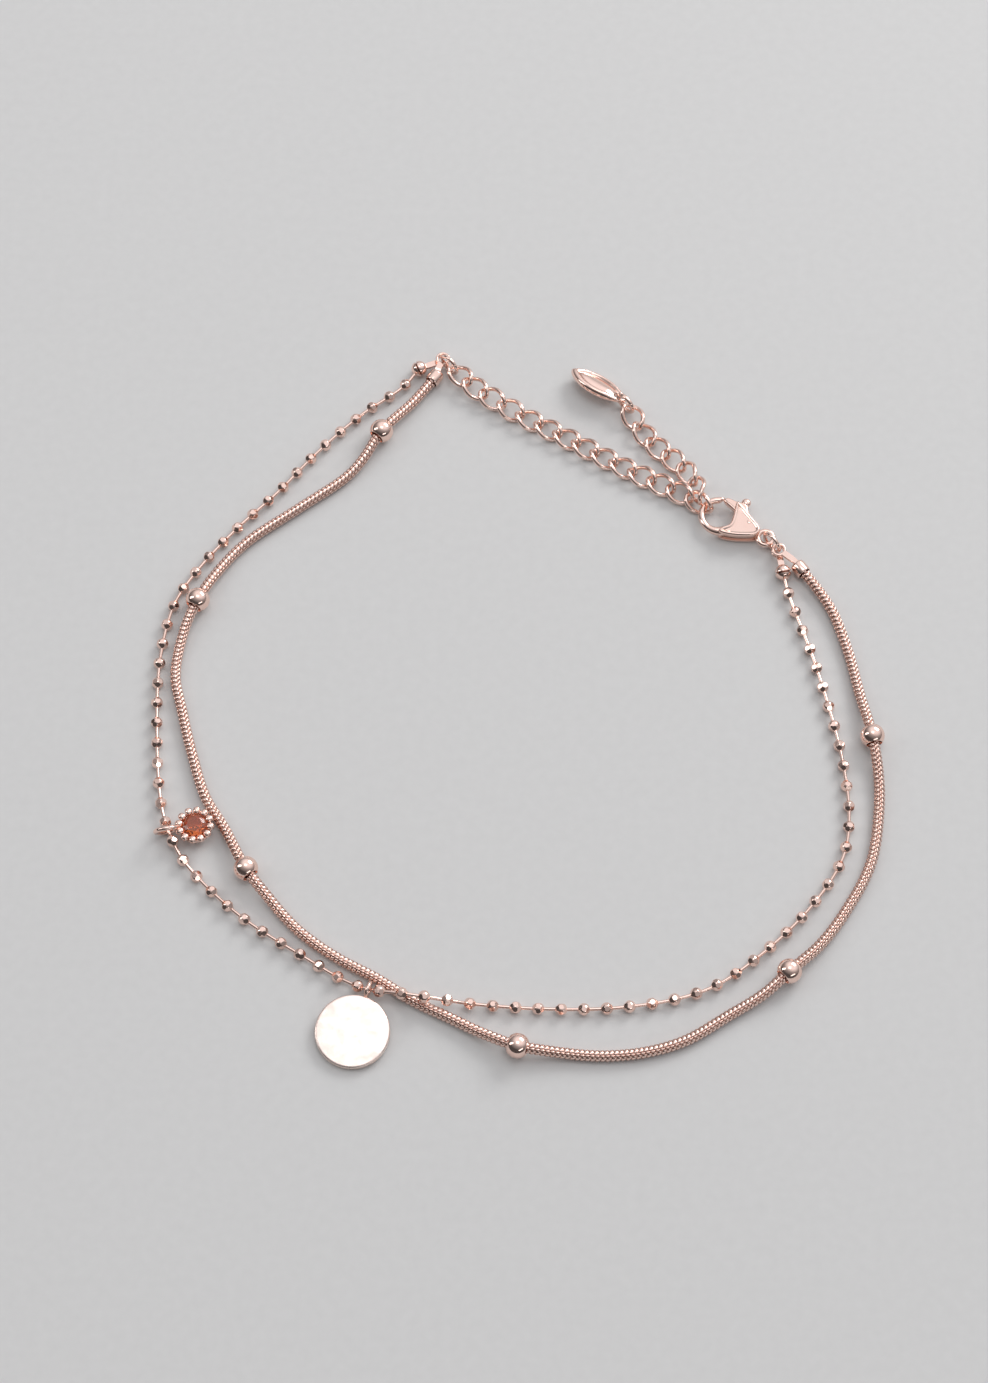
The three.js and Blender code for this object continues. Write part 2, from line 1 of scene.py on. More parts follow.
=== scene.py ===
# %% [markdown]
# # Charm anklet: looks for a jewel of small metal pieces
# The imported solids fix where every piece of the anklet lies. This lesson dresses them: each plain solid gets
# a finer visible piece in the same place, with cut facets, scale bands, smooth wire and polished metal.
# All sizes below are in millimetres, as a jeweller would give them, and are turned into metres at the end.

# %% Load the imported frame
import math
import random

import bmesh
import bpy
import numpy as np
from mathutils import Matrix, Vector


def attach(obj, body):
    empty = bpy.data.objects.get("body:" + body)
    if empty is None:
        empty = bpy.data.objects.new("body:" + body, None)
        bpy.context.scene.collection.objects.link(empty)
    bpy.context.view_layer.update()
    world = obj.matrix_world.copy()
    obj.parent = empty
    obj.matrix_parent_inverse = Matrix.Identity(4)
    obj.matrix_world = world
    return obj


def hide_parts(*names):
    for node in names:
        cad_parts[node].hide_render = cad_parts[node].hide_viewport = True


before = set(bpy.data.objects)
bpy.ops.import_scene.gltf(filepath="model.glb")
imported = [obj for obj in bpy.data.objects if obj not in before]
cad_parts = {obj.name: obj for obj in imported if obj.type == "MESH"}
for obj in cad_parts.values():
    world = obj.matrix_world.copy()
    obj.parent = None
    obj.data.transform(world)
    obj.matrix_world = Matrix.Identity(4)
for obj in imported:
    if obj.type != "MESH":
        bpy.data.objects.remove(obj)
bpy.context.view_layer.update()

# %% [markdown]
# ## Camera
# The anklet lies on a table and is seen from the front and well above, so the loop is a little shortened
# from front to back. A long lens far away keeps the near and far links almost the same size. The camera is
# aimed at a point near the middle of the loop. Colours are shown plainly, so that the rose tint of the metal
# keeps its strength in the bright places.

# %% Camera
MM = 0.001
VIEW_ELEVATION = math.radians(65)
VIEW_DISTANCE = 350
VIEW_TARGET = Vector((-2.5, 0.45, 0))

camera_data = bpy.data.cameras.new("camera")
camera_data.lens = 82.0
camera_data.sensor_width = 36.0
camera_data.clip_start = 0.01
camera = bpy.data.objects.new("camera", camera_data)
bpy.context.scene.collection.objects.link(camera)
toward_viewer = Vector((0, -math.cos(VIEW_ELEVATION), math.sin(VIEW_ELEVATION)))
camera.location = (VIEW_TARGET + toward_viewer * VIEW_DISTANCE) * MM
camera.rotation_euler = (-toward_viewer).to_track_quat("-Z", "Y").to_euler()
bpy.context.scene.camera = camera
bpy.context.scene.view_settings.view_transform = "Standard"
print("camera at", tuple(round(c, 4) for c in camera.location))

# %% [markdown]
# ## Studio
# Polished metal shows its surroundings more than its own colour. Broad soft boxes give the near-white
# streaks on the beads, and a dim front and horizon give the brown shades between them. One box hangs overhead
# for the flat disc, and the main one stands behind on the right, so shadows fall to the front and left.

# %% Nodes and wavering colours
def add_node(tree, kind, values=(), group=None):
    """A new shader node or a placed node group, with plain values on some of its inputs."""
    node = tree.nodes.new("ShaderNode" + kind)
    if group:
        node.node_tree = group
    for socket, value in dict(values).items():
        node.inputs[socket].default_value = value
    return node


def connect(tree, *joins):
    """Join sockets, each join given as node, output, node, input."""
    for source, output, target, socket in joins:
        tree.links.new(source.outputs[output], target.inputs[socket])


def new_material(name, values):
    """A material's node tree and shader, with plain values on some of the shader's inputs."""
    material = bpy.data.materials.new(name)
    material.use_nodes = True
    shader = material.node_tree.nodes["Principled BSDF"]
    for socket, value in values.items():
        shader.inputs[socket].default_value = value
    return material, material.node_tree, shader


def wavering(name, scale, tones, values):
    """A material whose colour wavers softly between two tones."""
    material, tree, shader = new_material(name, values)
    place = add_node(tree, "TexCoord")
    cloud = add_node(tree, "TexNoise", {"Scale": scale})
    ramp = add_node(tree, "ValToRGB")
    for stop, colour in zip(ramp.color_ramp.elements, tones):
        stop.color = (*colour, 1)
    connect(
        tree,
        (place, "Object", cloud, "Vector"),
        (cloud, "Fac", ramp, "Fac"),
        (ramp, "Color", shader, "Base Color"),
    )
    return material


print("colours waver between two tones where a surface is plain")

# %% Pale floor
FLOOR_HALF = 900
FLOOR_GRAIN = 900
FLOOR_TONES = [(0.66, 0.655, 0.645), (0.71, 0.705, 0.695)]

floor_mesh = bpy.data.meshes.new("floor")
floor_corners = [(-1, -1), (1, -1), (1, 1), (-1, 1)]
floor_points = [(x * FLOOR_HALF * MM, y * FLOOR_HALF * MM, 0) for x, y in floor_corners]
floor_mesh.from_pydata(floor_points, [], [(0, 1, 2, 3)])
floor_mesh.materials.append(wavering("pale_floor", FLOOR_GRAIN, FLOOR_TONES, {"Roughness": 0.75}))
floor = bpy.data.objects.new("floor", floor_mesh)
bpy.context.scene.collection.objects.link(floor)
print("floor:", 2 * FLOOR_HALF, "mm square")

# %% Soft boxes
SOFT_BOXES = [
    ("top_box", (10, 95, 640), 270, 240, 0.24),
    ("back_box", (360, 430, 340), 320, 240, 1.6),
    ("side_box", (-520, 60, 360), 160, 420, 0.5),
    ("front_strip", (300, -520, 300), 420, 90, 0.3),
]

for name, place, width, height, watts in SOFT_BOXES:
    data = bpy.data.lights.new(name, "AREA")
    data.shape = "RECTANGLE"
    data.size = width * MM
    data.size_y = height * MM
    data.energy = watts
    box = bpy.data.objects.new(name, data)
    bpy.context.scene.collection.objects.link(box)
    box.location = Vector(place) * MM
    box.rotation_euler = (-Vector(place)).to_track_quat("-Z", "Y").to_euler()
print("lights:", len(SOFT_BOXES), "aimed at the middle of the loop")

# %% Room tone
BRIGHT_SIDE = Vector((0.30, 0.50, 0.81)).normalized()
ROOM_TONES = [(0.0, 0.07), (0.50, 0.32), (0.88, 1.0)]
ROOM_BLUE = 1.03

world = bpy.data.worlds.new("studio")
bpy.context.scene.world = world
world.use_nodes = True
room = world.node_tree
room_place = add_node(room, "TexCoord")
room_side = add_node(room, "VectorMath", {1: BRIGHT_SIDE})
room_side.operation = "DOT_PRODUCT"
room_tone = add_node(room, "ValToRGB")
room_tone.color_ramp.elements.new(0.5)
for stop, (position, grey) in zip(room_tone.color_ramp.elements, ROOM_TONES):
    stop.position = position
    stop.color = (grey, grey, grey * ROOM_BLUE, 1)
connect(
    room,
    (room_place, "Generated", room_side, 0),
    (room_side, "Value", room_tone, "Fac"),
    (room_tone, "Color", room.nodes["Background"], "Color"),
)
print("room: brightest towards", [round(c, 2) for c in BRIGHT_SIDE])

# %% [markdown]
# ## Shared surface effects
# Two effects come back in every metal here, so each is a node group. The first is the polish: very fine
# rubbing marks that make some spots a trifle duller. The second is the tone: plated metal is a little paler
# where it is rubbed, and a painted shade makes it browner down in grooves, where shade falls. How deep a point
# lies in a groove is stored on the mesh as a per-point painted shade number.

# %% Node group helper
def new_group(name, inputs, outputs):
    """An empty shader node group with named float or colour sockets."""
    group = bpy.data.node_groups.new(name, "ShaderNodeTree")
    for socket, kind, value in inputs:
        made = group.interface.new_socket(socket, in_out="INPUT", socket_type=kind)
        made.default_value = value
    for socket, kind in outputs:
        group.interface.new_socket(socket, in_out="OUTPUT", socket_type=kind)
    return group, group.nodes.new("NodeGroupInput"), group.nodes.new("NodeGroupOutput")


FLOAT = "NodeSocketFloat"
COLOUR = "NodeSocketColor"
print("groups are made with", FLOAT, "and", COLOUR, "sockets")

# %% Polish marks
polish, polish_in, polish_out = new_group(
    "polish_marks",
    [("Scale", FLOAT, 900.0), ("Smooth", FLOAT, 0.1), ("Dull", FLOAT, 0.2)],
    [("Roughness", FLOAT), ("Height", FLOAT)],
)
polish_place = add_node(polish, "TexCoord")
polish_noise = add_node(polish, "TexNoise", {"Detail": 3})
polish_range = add_node(polish, "MapRange", {"From Min": 0.35, "From Max": 0.7})
connect(
    polish,
    (polish_place, "Object", polish_noise, "Vector"),
    (polish_in, "Scale", polish_noise, "Scale"),
    (polish_noise, "Fac", polish_range, "Value"),
    (polish_in, "Smooth", polish_range, "To Min"),
    (polish_in, "Dull", polish_range, "To Max"),
    (polish_range, "Result", polish_out, "Roughness"),
    (polish_noise, "Fac", polish_out, "Height"),
)
print("group:", polish.name)

# %% Plated tone and painted groove shade
tone, tone_in, tone_out = new_group(
    "plated_tone_and_shade",
    [("Metal", COLOUR, (0.9, 0.6, 0.5, 1)), ("Rubbed", COLOUR, (0.95, 0.7, 0.6, 1)),
     ("Groove Shade", COLOUR, (0.3, 0.12, 0.08, 1)), ("Scale", FLOAT, 300.0)],
    [("Color", COLOUR)],
)
tone_place = add_node(tone, "TexCoord")
tone_noise = add_node(tone, "TexNoise", {"Detail": 2})
# painted shade: a number stored on each mesh point mixes the dark groove colour into the metal
tone_painted_shade = add_node(tone, "Attribute")
tone_painted_shade.attribute_name = "painted_shade"
tone_rub = add_node(tone, "Mix")
tone_rub.data_type = "RGBA"
tone_shaded = add_node(tone, "Mix")
tone_shaded.data_type = "RGBA"
connect(
    tone,
    (tone_place, "Object", tone_noise, "Vector"),
    (tone_in, "Scale", tone_noise, "Scale"),
    (tone_noise, "Fac", tone_rub, "Factor"),
    (tone_in, "Metal", tone_rub, "A"),
    (tone_in, "Rubbed", tone_rub, "B"),
    (tone_painted_shade, "Fac", tone_shaded, "Factor"),
    (tone_rub, "Result", tone_shaded, "A"),
    (tone_in, "Groove Shade", tone_shaded, "B"),
    (tone_shaded, "Result", tone_out, "Color"),
)
print("group:", tone.name)

# %% [markdown]
# ## Metals
# Four finishes share the two groups: a mirror polish for beads, wire and clasp, a crisper one for the cut
# balls, a softer one for the scales of the snake chain, and a satin one for the flat disc, which scatters
# light into a near-white sheet with a mottled surface. The shader itself stays in the material, and what is
# the same all over is set on its own sockets.

# %% Metals
ROSE = (0.93, 0.65, 0.55)
ROSE_PALE = (0.96, 0.73, 0.65)
# the next colour is painted shade: the dark brown put down in grooves, slits and the drop's channel
ROSE_PAINTED_SHADE = (0.30, 0.11, 0.07)
SATIN = (0.92, 0.72, 0.64)
SATIN_PALE = (0.97, 0.86, 0.80)
MARK_DEPTH = 0.02


def metal(name, colour, rubbed, smooth, dull, mark_scale, tone_scale, relief):
    """A plated metal: tone, painted groove shade and polish from the groups, a faint relief from the polish
    marks.
    """
    material, tree, shader = new_material(name, {"Metallic": 1.0})
    colours = {"Metal": (*colour, 1), "Rubbed": (*rubbed, 1), "Groove Shade": (*ROSE_PAINTED_SHADE, 1), "Scale": tone_scale}
    tint_and_shade = add_node(tree, "Group", colours, tone)
    marks = add_node(tree, "Group", {"Scale": mark_scale, "Smooth": smooth, "Dull": dull}, polish)
    bump = add_node(tree, "Bump", {"Strength": relief, "Distance": MARK_DEPTH * MM})
    connect(
        tree,
        (tint_and_shade, "Color", shader, "Base Color"),
        (marks, "Roughness", shader, "Roughness"),
        (marks, "Height", bump, "Height"),
        (bump, "Normal", shader, "Normal"),
    )
    return material


polished_gold = metal("polished_rose_gold", ROSE, ROSE_PALE, 0.08, 0.16, 1800, 500, 0.04)
cut_gold = metal("cut_rose_gold", ROSE, ROSE_PALE, 0.06, 0.13, 2500, 900, 0.02)
scale_gold = metal("scale_rose_gold", ROSE, ROSE_PALE, 0.14, 0.24, 2500, 700, 0.05)
satin_gold = metal("satin_rose_gold", SATIN, SATIN_PALE, 0.24, 0.4, 1100, 650, 0.3)
print("metals:", [m.name for m in (polished_gold, cut_gold, scale_gold, satin_gold)])

# %% [markdown]
# ## Red stone
# The stone is a clear red-orange crystal. Light goes in through the flat table, bounces between the lower
# facets and comes back as orange flashes, while the table itself mirrors the grey room. A glass-like shader
# on real facets does all of that by itself; a faint cloud in the colour keeps it from looking like plastic.

# %% Stone material
STONE_CLOUD = 700
STONE_TONES = [(0.95, 0.15, 0.045), (1.0, 0.33, 0.09)]
STONE_SHADER = {"Roughness": 0.02, "IOR": 1.75, "Transmission Weight": 0.85}

red_stone = wavering("red_crystal", STONE_CLOUD, STONE_TONES, STONE_SHADER)
print("stone:", red_stone.name)

# %% [markdown]
# ## Small tools for making pieces
# Every piece is a list of points and faces worked out from sizes. Most jewel parts are one of four things:
# a wire that follows a line, a turned body, a flat plate with softened edges, or a plate with a hole. Each
# gets a short helper that returns its points and faces, and one more puts them on the table as an object.

# %% Join shells and make an object
PLAN_SHIFT = np.array((-0.2, -0.75, 0.0))
UP = np.array((0.0, 0.0, 1.0))


def merged(*shells):
    """Several shells of points and faces as one."""
    points, faces, start = [], [], 0
    for shell_points, shell_faces in shells:
        points.append(np.asarray(shell_points, float))
        faces += [tuple(start + i for i in face) for face in shell_faces]
        start += len(shell_points)
    return np.concatenate(points), faces


def moved(shell, offset):
    return shell[0] + np.asarray(offset, float), shell[1]


def make_piece(name, shell, material, nodes, body="anklet", crease=None, painted_shade=None):
    """A shown piece that stands for one or more solids and rides on their body."""
    points, faces = shell
    mesh = bpy.data.meshes.new(name)
    mesh.from_pydata(((np.asarray(points) + PLAN_SHIFT) * MM).tolist(), [], faces)
    mesh.validate()
    mesh.polygons.foreach_set("use_smooth", np.ones(len(mesh.polygons), bool))
    if crease is not None:
        mesh.set_sharp_from_angle(angle=math.radians(crease))
    # painted shade: a number on each point that darkens grooves, slits and channels through the tone group
    if painted_shade is not None:
        layer = mesh.attributes.new("painted_shade", "FLOAT", "POINT")
        layer.data.foreach_set("value", np.asarray(painted_shade, np.float32))
    mesh.materials.append(material)
    piece = bpy.data.objects.new(name, mesh)
    bpy.context.scene.collection.objects.link(piece)
    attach(piece, body)
    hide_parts(*nodes)
    return piece


print("pieces are shifted by", PLAN_SHIFT.tolist(), "mm from the drawn plan")

# %% Place and turn
def unit(vector):
    vector = np.asarray(vector, float)
    return vector / np.linalg.norm(vector)


def placed(shell, origin, forward, up=UP):
    """A shell drawn along x, moved to an origin with x forward and z near up."""
    x = unit(forward)
    y = unit(np.cross(up, x))
    z = np.cross(x, y)
    points, faces = shell
    return np.asarray(points) @ np.array((x, y, z)) + np.asarray(origin, float), faces


def rolled(axis, degrees):
    """The up direction turned about an axis."""
    turn = Matrix.Rotation(math.radians(degrees), 3, Vector(axis))
    return np.array(turn @ Vector(UP))


print("up rolled by 90 degrees about x:", np.round(rolled((1, 0, 0), 90), 3).tolist())

# %% Wire along a line
def ring_faces(rings, sides, closed):
    """Quads between rings of points, wrapped round when the row of rings is closed."""
    faces = []
    for ring in range(rings if closed else rings - 1):
        a, b = ring * sides, ((ring + 1) % rings) * sides
        for k in range(sides):
            n = (k + 1) % sides
            faces.append((a + k, a + n, b + n, b + k))
    return faces


def tube_faces(rings, sides):
    """Quads between an open row of rings, and a flat face at each end."""
    last = (rings - 1) * sides
    ends = [tuple(range(sides))[::-1], tuple(range(last, last + sides))]
    return ring_faces(rings, sides, False) + ends


def wire(path, radius, sides=12, closed=False):
    """A round wire along a path; its section is carried along without twist."""
    path = np.asarray(path, float)
    count = len(path)
    radii = np.broadcast_to(np.asarray(radius, float), count)
    if closed:
        ahead = np.roll(path, -1, 0) - np.roll(path, 1, 0)
    else:
        ahead = np.gradient(path, axis=0)
    heading = ahead / np.linalg.norm(ahead, axis=1)[:, None]
    first = UP if abs(heading[0] @ UP) < 0.9 else np.array((1.0, 0, 0))
    side = unit(first - heading[0] * (first @ heading[0]))
    sides_at = []
    for h in heading:
        side = unit(side - h * (side @ h))
        sides_at.append(side)
    angle = np.linspace(0, 2 * np.pi, sides, endpoint=False)
    points = []
    for p, h, s, r in zip(path, heading, sides_at, radii):
        t = np.cross(h, s)
        points.append(p + r * (np.cos(angle)[:, None] * s + np.sin(angle)[:, None] * t))
    faces = ring_faces(count, sides, True) if closed else tube_faces(count, sides)
    return np.concatenate(points), faces


def wire_ring(radius, wire_radius, steps=40, sides=12):
    """A closed ring of wire in the xy plane."""
    angle = np.linspace(0, 2 * np.pi, steps, endpoint=False)
    path = np.stack((radius * np.cos(angle), radius * np.sin(angle), np.zeros(steps)), 1)
    return wire(path, wire_radius, sides, closed=True)


print("a wire ring has", len(wire_ring(1, 0.2)[1]), "faces")

# %% Turned bodies
def turned(profile, sides=32, closed=False):
    """A body turned about z from (radius, height) pairs; a radius of 0 closes it in a point."""
    angle = np.linspace(0, 2 * np.pi, sides, endpoint=False)
    points, rows = [], []
    for radius, height in profile:
        if radius < 1e-9:
            rows.append([len(points)] * sides)
            points.append((0, 0, height))
        else:
            rows.append(list(range(len(points), len(points) + sides)))
            points += [(radius * math.cos(a), radius * math.sin(a), height) for a in angle]
    faces = []
    pairs = list(zip(rows, rows[1:] + rows[:1])) if closed else list(zip(rows, rows[1:]))
    for low, high in pairs:
        for k in range(sides):
            n = (k + 1) % sides
            corners = [low[k], low[n], high[n], high[k]]
            faces.append(tuple(dict.fromkeys(corners)))
    return np.array(points), faces


def egg(radius, half, steps):
    """The outline of an egg to be turned, from its lower to its upper pole."""
    turns = [math.pi * k / steps for k in range(1, steps)]
    return [(0, -half), *((radius * math.sin(a), -half * math.cos(a)) for a in turns), (0, half)]


def turned_about(shell, axis):
    """A turned body with its z axis laid along another axis."""
    other = UP if abs(unit(axis) @ UP) < 0.9 else np.array((0, 1.0, 0))
    z = unit(axis)
    x = unit(np.cross(other, z))
    return shell[0] @ np.array((x, np.cross(z, x), z)), shell[1]


print("a turned cone has", len(turned([(0, 0), (1, 1), (0, 1)], 8)[1]), "faces")

# %% Plates with soft edges
def pillow(loops):
    """A plate from closed loops of points, from the rim of its underside to the rim of its top."""
    return np.concatenate(loops), tube_faces(len(loops), len(loops[0]))


def holed_plate(outer, inner, thickness, soft):
    """A plate between an outer outline and a hole of as many points, its four edges softened."""
    def level(outline, grow, z):
        length = np.linalg.norm(outline, axis=1)[:, None]
        flat = outline * (1 + grow / length)
        return np.column_stack((flat, np.full(len(flat), z)))

    half = thickness / 2
    edge = [(0, soft), (0.4 * soft, 0.3 * soft), (soft, 0)]
    rows = [(outer, -cut, half - drop) for cut, drop in edge]
    rows += [(inner, cut, half - drop) for cut, drop in edge[::-1]]
    rows += [(inner, cut, drop - half) for cut, drop in edge]
    rows += [(outer, -cut, drop - half) for cut, drop in edge[::-1]]
    loops = [level(*row) for row in rows]
    return np.concatenate(loops), ring_faces(len(loops), len(outer), True)


print("plates are built from loops of points")

# %% Insets
def inset(outline, depth):
    """An outline moved inwards by a depth, less where the shape is too narrow for it."""
    after = np.roll(outline, -1, 0)
    ahead = after - np.roll(outline, 1, 0)
    inward = np.stack((-ahead[:, 1], ahead[:, 0]), 1) / np.linalg.norm(ahead, axis=1)[:, None]
    run = after - outline
    gap = outline[None] - outline[:, None]
    cross = inward[:, None, 0] * run[None, :, 1] - inward[:, None, 1] * run[None, :, 0]
    cross = np.where(np.abs(cross) < 1e-9, 1e-9, cross)
    reach = (gap[..., 0] * run[None, :, 1] - gap[..., 1] * run[None, :, 0]) / cross
    place = (gap[..., 0] * inward[:, None, 1] - gap[..., 1] * inward[:, None, 0]) / cross
    room = np.where((reach > 0.02) & (place >= 0) & (place <= 1), reach, np.inf).min(1)
    move = np.minimum(depth, 0.42 * room)
    for _ in range(3):
        move = (np.roll(move, 1) + move + np.roll(move, -1)) / 3
    return outline + inward * move[:, None]


def plate(outline, levels):
    """A plate from (inset, height) pairs, from its underside to its top."""
    loops = []
    for depth, height in levels:
        loop = inset(outline, depth) if depth else outline
        loops.append(np.column_stack((loop, np.full(len(loop), height))))
    return pillow(loops)


def mirrored(shell):
    points, faces = shell
    return points * (1, 1, -1), [face[::-1] for face in faces]


square_loop = np.array([(0, 0), (4, 0), (4, 4), (0, 4)], float)
print("a square inset by 1:", inset(square_loop, 1).round(2).tolist())

# %% [markdown]
# ## The lie of the strands
# Each strand follows a smooth line through a few chosen plan points, and rises in a soft hump where it goes
# through a bead or over another strand. The line is a Catmull-Rom spline with centripetal spacing, which
# passes through its points without loops, and places along it are counted in millimetres of plan length.

# %% Laid strand
class LaidStrand:
    """A smooth plan line with humps, read by the length along it."""

    def __init__(self, route, rest, humps=(), fine=40):
        points = np.array(route, float)
        points = np.vstack((2 * points[0] - points[1], points, 2 * points[-1] - points[-2]))
        samples = []
        for p0, p1, p2, p3 in zip(points, points[1:], points[2:], points[3:]):
            d0, d1, d2 = (math.sqrt(np.linalg.norm(b - a)) for a, b in ((p0, p1), (p1, p2), (p2, p3)))
            m1 = d1 * ((p1 - p0) / d0 - (p2 - p0) / (d0 + d1) + (p2 - p1) / d1)
            m2 = d1 * ((p2 - p1) / d1 - (p3 - p1) / (d1 + d2) + (p3 - p2) / d2)
            t = np.linspace(0, 1, fine, endpoint=False)[:, None]
            samples.append(
                p1 + m1 * t + (3 * (p2 - p1) - 2 * m1 - m2) * t**2 + (2 * (p1 - p2) + m1 + m2) * t**3
            )
        self.plan = np.vstack((*samples, points[-2][None]))
        steps = np.linalg.norm(np.diff(self.plan, axis=0), axis=1)
        self.length = np.concatenate(((0,), np.cumsum(steps)))
        self.span = self.length[-1]
        self.rest = rest
        self.humps = list(humps)

    def at(self, along):
        along = np.asarray(along, float)
        x = np.interp(along, self.length, self.plan[:, 0])
        y = np.interp(along, self.length, self.plan[:, 1])
        z = np.full(along.shape, self.rest)
        for place, lift, reach in self.humps:
            z = z + lift * np.exp(-(((along - place) / reach) ** 2))
        return np.stack((x, y, z), -1)

    def heading(self, along):
        along = np.asarray(along, float)
        step = self.at(np.minimum(along + 0.05, self.span)) - self.at(np.maximum(along - 0.05, 0))
        return step / np.linalg.norm(step, axis=-1, keepdims=True)


BALL_ROUTE = [
    (-11.0, 42.2), (-12.7, 40.0), (-17.7, 36.1), (-22.6, 31.2), (-27.0, 26.0), (-31.7, 21.1),
    (-35.9, 15.8), (-38.2, 11.7), (-39.5, 4.9), (-39.4, -5.1), (-38.6, -12.7), (-37.5, -16.3),
    (-35.6, -19.7), (-29.9, -25.4), (-23.3, -29.9), (-16.4, -33.9), (-11.6, -35.0), (-6.7, -35.5),
    (3.0, -36.2), (10.4, -36.1), (17.4, -35.0), (21.6, -33.4), (27.0, -29.4), (31.7, -24.7),
    (35.3, -19.3), (36.3, -15.0), (36.0, -7.9), (33.6, 3.7), (30.8, 13.1), (30.3, 15.6),
]
SNAKE_ROUTE = [
    (-9.2, 41.0), (-11.6, 37.8), (-15.2, 33.7), (-17.4, 30.1), (-19.2, 28.0), (-24.5, 24.0), (-30.2, 19.7),
    (-33.0, 16.4), (-35.5, 12.0), (-37.0, 8.0), (-37.7, 2.9), (-36.8, -1.4), (-35.4, -6.9), (-33.8, -11.8),
    (-31.6, -15.5), (-29.1, -20.4), (-26.7, -23.5), (-23.3, -27.3), (-19.3, -30.3), (-14.6, -32.9),
    (-11.2, -35.1), (-7.0, -37.2), (-2.9, -39.3), (0.1, -40.5), (4.5, -41.1), (9.2, -41.4), (13.6, -41.0),
    (17.9, -39.7), (22.6, -36.9), (26.5, -34.5), (29.1, -32.2), (32.4, -29.2), (35.5, -25.1), (38.5, -19.5),
    (39.7, -13.0), (39.8, -9.4), (39.3, -4.8), (38.3, 0.1), (37.2, 5.8), (35.6, 10.9), (34.0, 13.7),
    (32.3, 16.05),
]
print("strand spans:", round(LaidStrand(BALL_ROUTE, 0).span, 2), round(LaidStrand(SNAKE_ROUTE, 0).span, 2))

# %% [markdown]
# ## Ball chain
# The small balls are diamond-cut: a turned ball gets many flat mirror cuts, so that each one flashes at its
# own moment. Here a fine ball is sliced by planes and every slice is filled flat, which leaves crisp facets
# and a little of the round skin between them. The balls sit on thin rods, each rolled by its own angle.

# %% One cut ball
BALL_RADIUS = 0.66
BALL_CUT = 0.6
ROD_RADIUS = 0.19


def cut_directions():
    """Facets round the middle of the ball and a staggered row towards each end, chain along x."""
    rows = [(0, 6, 0), (42, 5, 20), (-42, 5, 50)]
    for lean, count, start in rows:
        for k in range(count):
            turn = math.radians(start + 360 * k / count)
            out = math.cos(math.radians(lean))
            yield Vector((math.sin(math.radians(lean)), out * math.cos(turn), out * math.sin(turn)))


def cut_ball():
    shape = bmesh.new()
    bmesh.ops.create_icosphere(shape, subdivisions=4, radius=BALL_RADIUS)
    for normal in cut_directions():
        everything = shape.verts[:] + shape.edges[:] + shape.faces[:]
        result = bmesh.ops.bisect_plane(
            shape, geom=everything, plane_co=normal * BALL_CUT, plane_no=normal, clear_outer=True,
        )
        rim = [e for e in result["geom_cut"] if isinstance(e, bmesh.types.BMEdge)]
        bmesh.ops.edgeloop_fill(shape, edges=rim)
    bmesh.ops.recalc_face_normals(shape, faces=shape.faces[:])
    shape.verts.index_update()
    points = np.array([v.co[:] for v in shape.verts])
    faces = [tuple(v.index for v in f.verts) for f in shape.faces]
    shape.free()
    return points, faces


ball_shell = cut_ball()
print("one cut ball:", len(ball_shell[1]), "faces")

# %% String the balls
BALL_COUNT = 78
LEFT_BALLS = 36
BALL_END_GAP = 2.6
CAP_RADIUS = 0.92
STONE_PLACE = 27.5
DISC_PLACE = 39.5
CROSSING = 41.35
BALL_REST = 0.65
ROD_STEP = 0.4
ROD_SIDES = 24

ball_span = LaidStrand(BALL_ROUTE, 0).span
ball_pitch = (ball_span - 2 * BALL_END_GAP) / (BALL_COUNT - 1)


def ball_place(number):
    return BALL_END_GAP + number * ball_pitch


ball_humps = [
    (0, 0.27, 3), (ball_place(STONE_PLACE), 0.4, 2.2), (ball_place(CROSSING), 1.38, 4.5),
    (ball_span, 0.27, 3),
]
ball_strand = LaidStrand(BALL_ROUTE, BALL_REST, ball_humps)
rolls = random.Random(7)


def ball_string(first, count, start, end):
    shells = []
    for number in range(first, first + count):
        place = ball_place(number)
        forward = ball_strand.heading(place)
        up = rolled(forward, rolls.uniform(0, 360))
        shells.append(placed(ball_shell, ball_strand.at(place), forward, up))
    steps = int((end - start) / ROD_STEP)
    shells.append(wire(ball_strand.at(np.linspace(start, end, steps)), ROD_RADIUS, ROD_SIDES))
    return merged(*shells)


middle = ball_place(LEFT_BALLS - 0.5)
rod_start = CAP_RADIUS - 0.35
left_string = ball_string(0, LEFT_BALLS, rod_start, middle)
right_string = ball_string(LEFT_BALLS, BALL_COUNT - LEFT_BALLS, middle, ball_span - rod_start)
make_piece("cut_balls_left", left_string, cut_gold, ["ball_chain_left"], crease=16)
make_piece("cut_balls_right", right_string, cut_gold, ["ball_chain_right"], crease=16)
print("ball chain:", BALL_COUNT, "balls every", round(ball_pitch, 3), "mm")

# %% [markdown]
# ## Snake chain
# A snake chain is a row of bent plates that close up like scales. Its section is a rounded square. Each of
# the four faces carries a row of raised bands, and a narrow row of small bumps runs along every corner, a
# part of a step behind, with dark pits between. The skin is made in columns of points round the section:
# each column has its own start along the chain, so every groove keeps its full depth. The depth of each point
# sets a painted shade, which paints the grooves browner as shade would. The chain also turns slowly along its
# way.

# %% Columns round the snake chain
SNAKE_CORE = 0.47
SNAKE_BAND = 0.13
BAND_PITCH = 0.53
BAND_STEPS = 6
BAND_SLANT = 0.22
BAND_POWER = 0.62
SECTION_POWER = 2.6
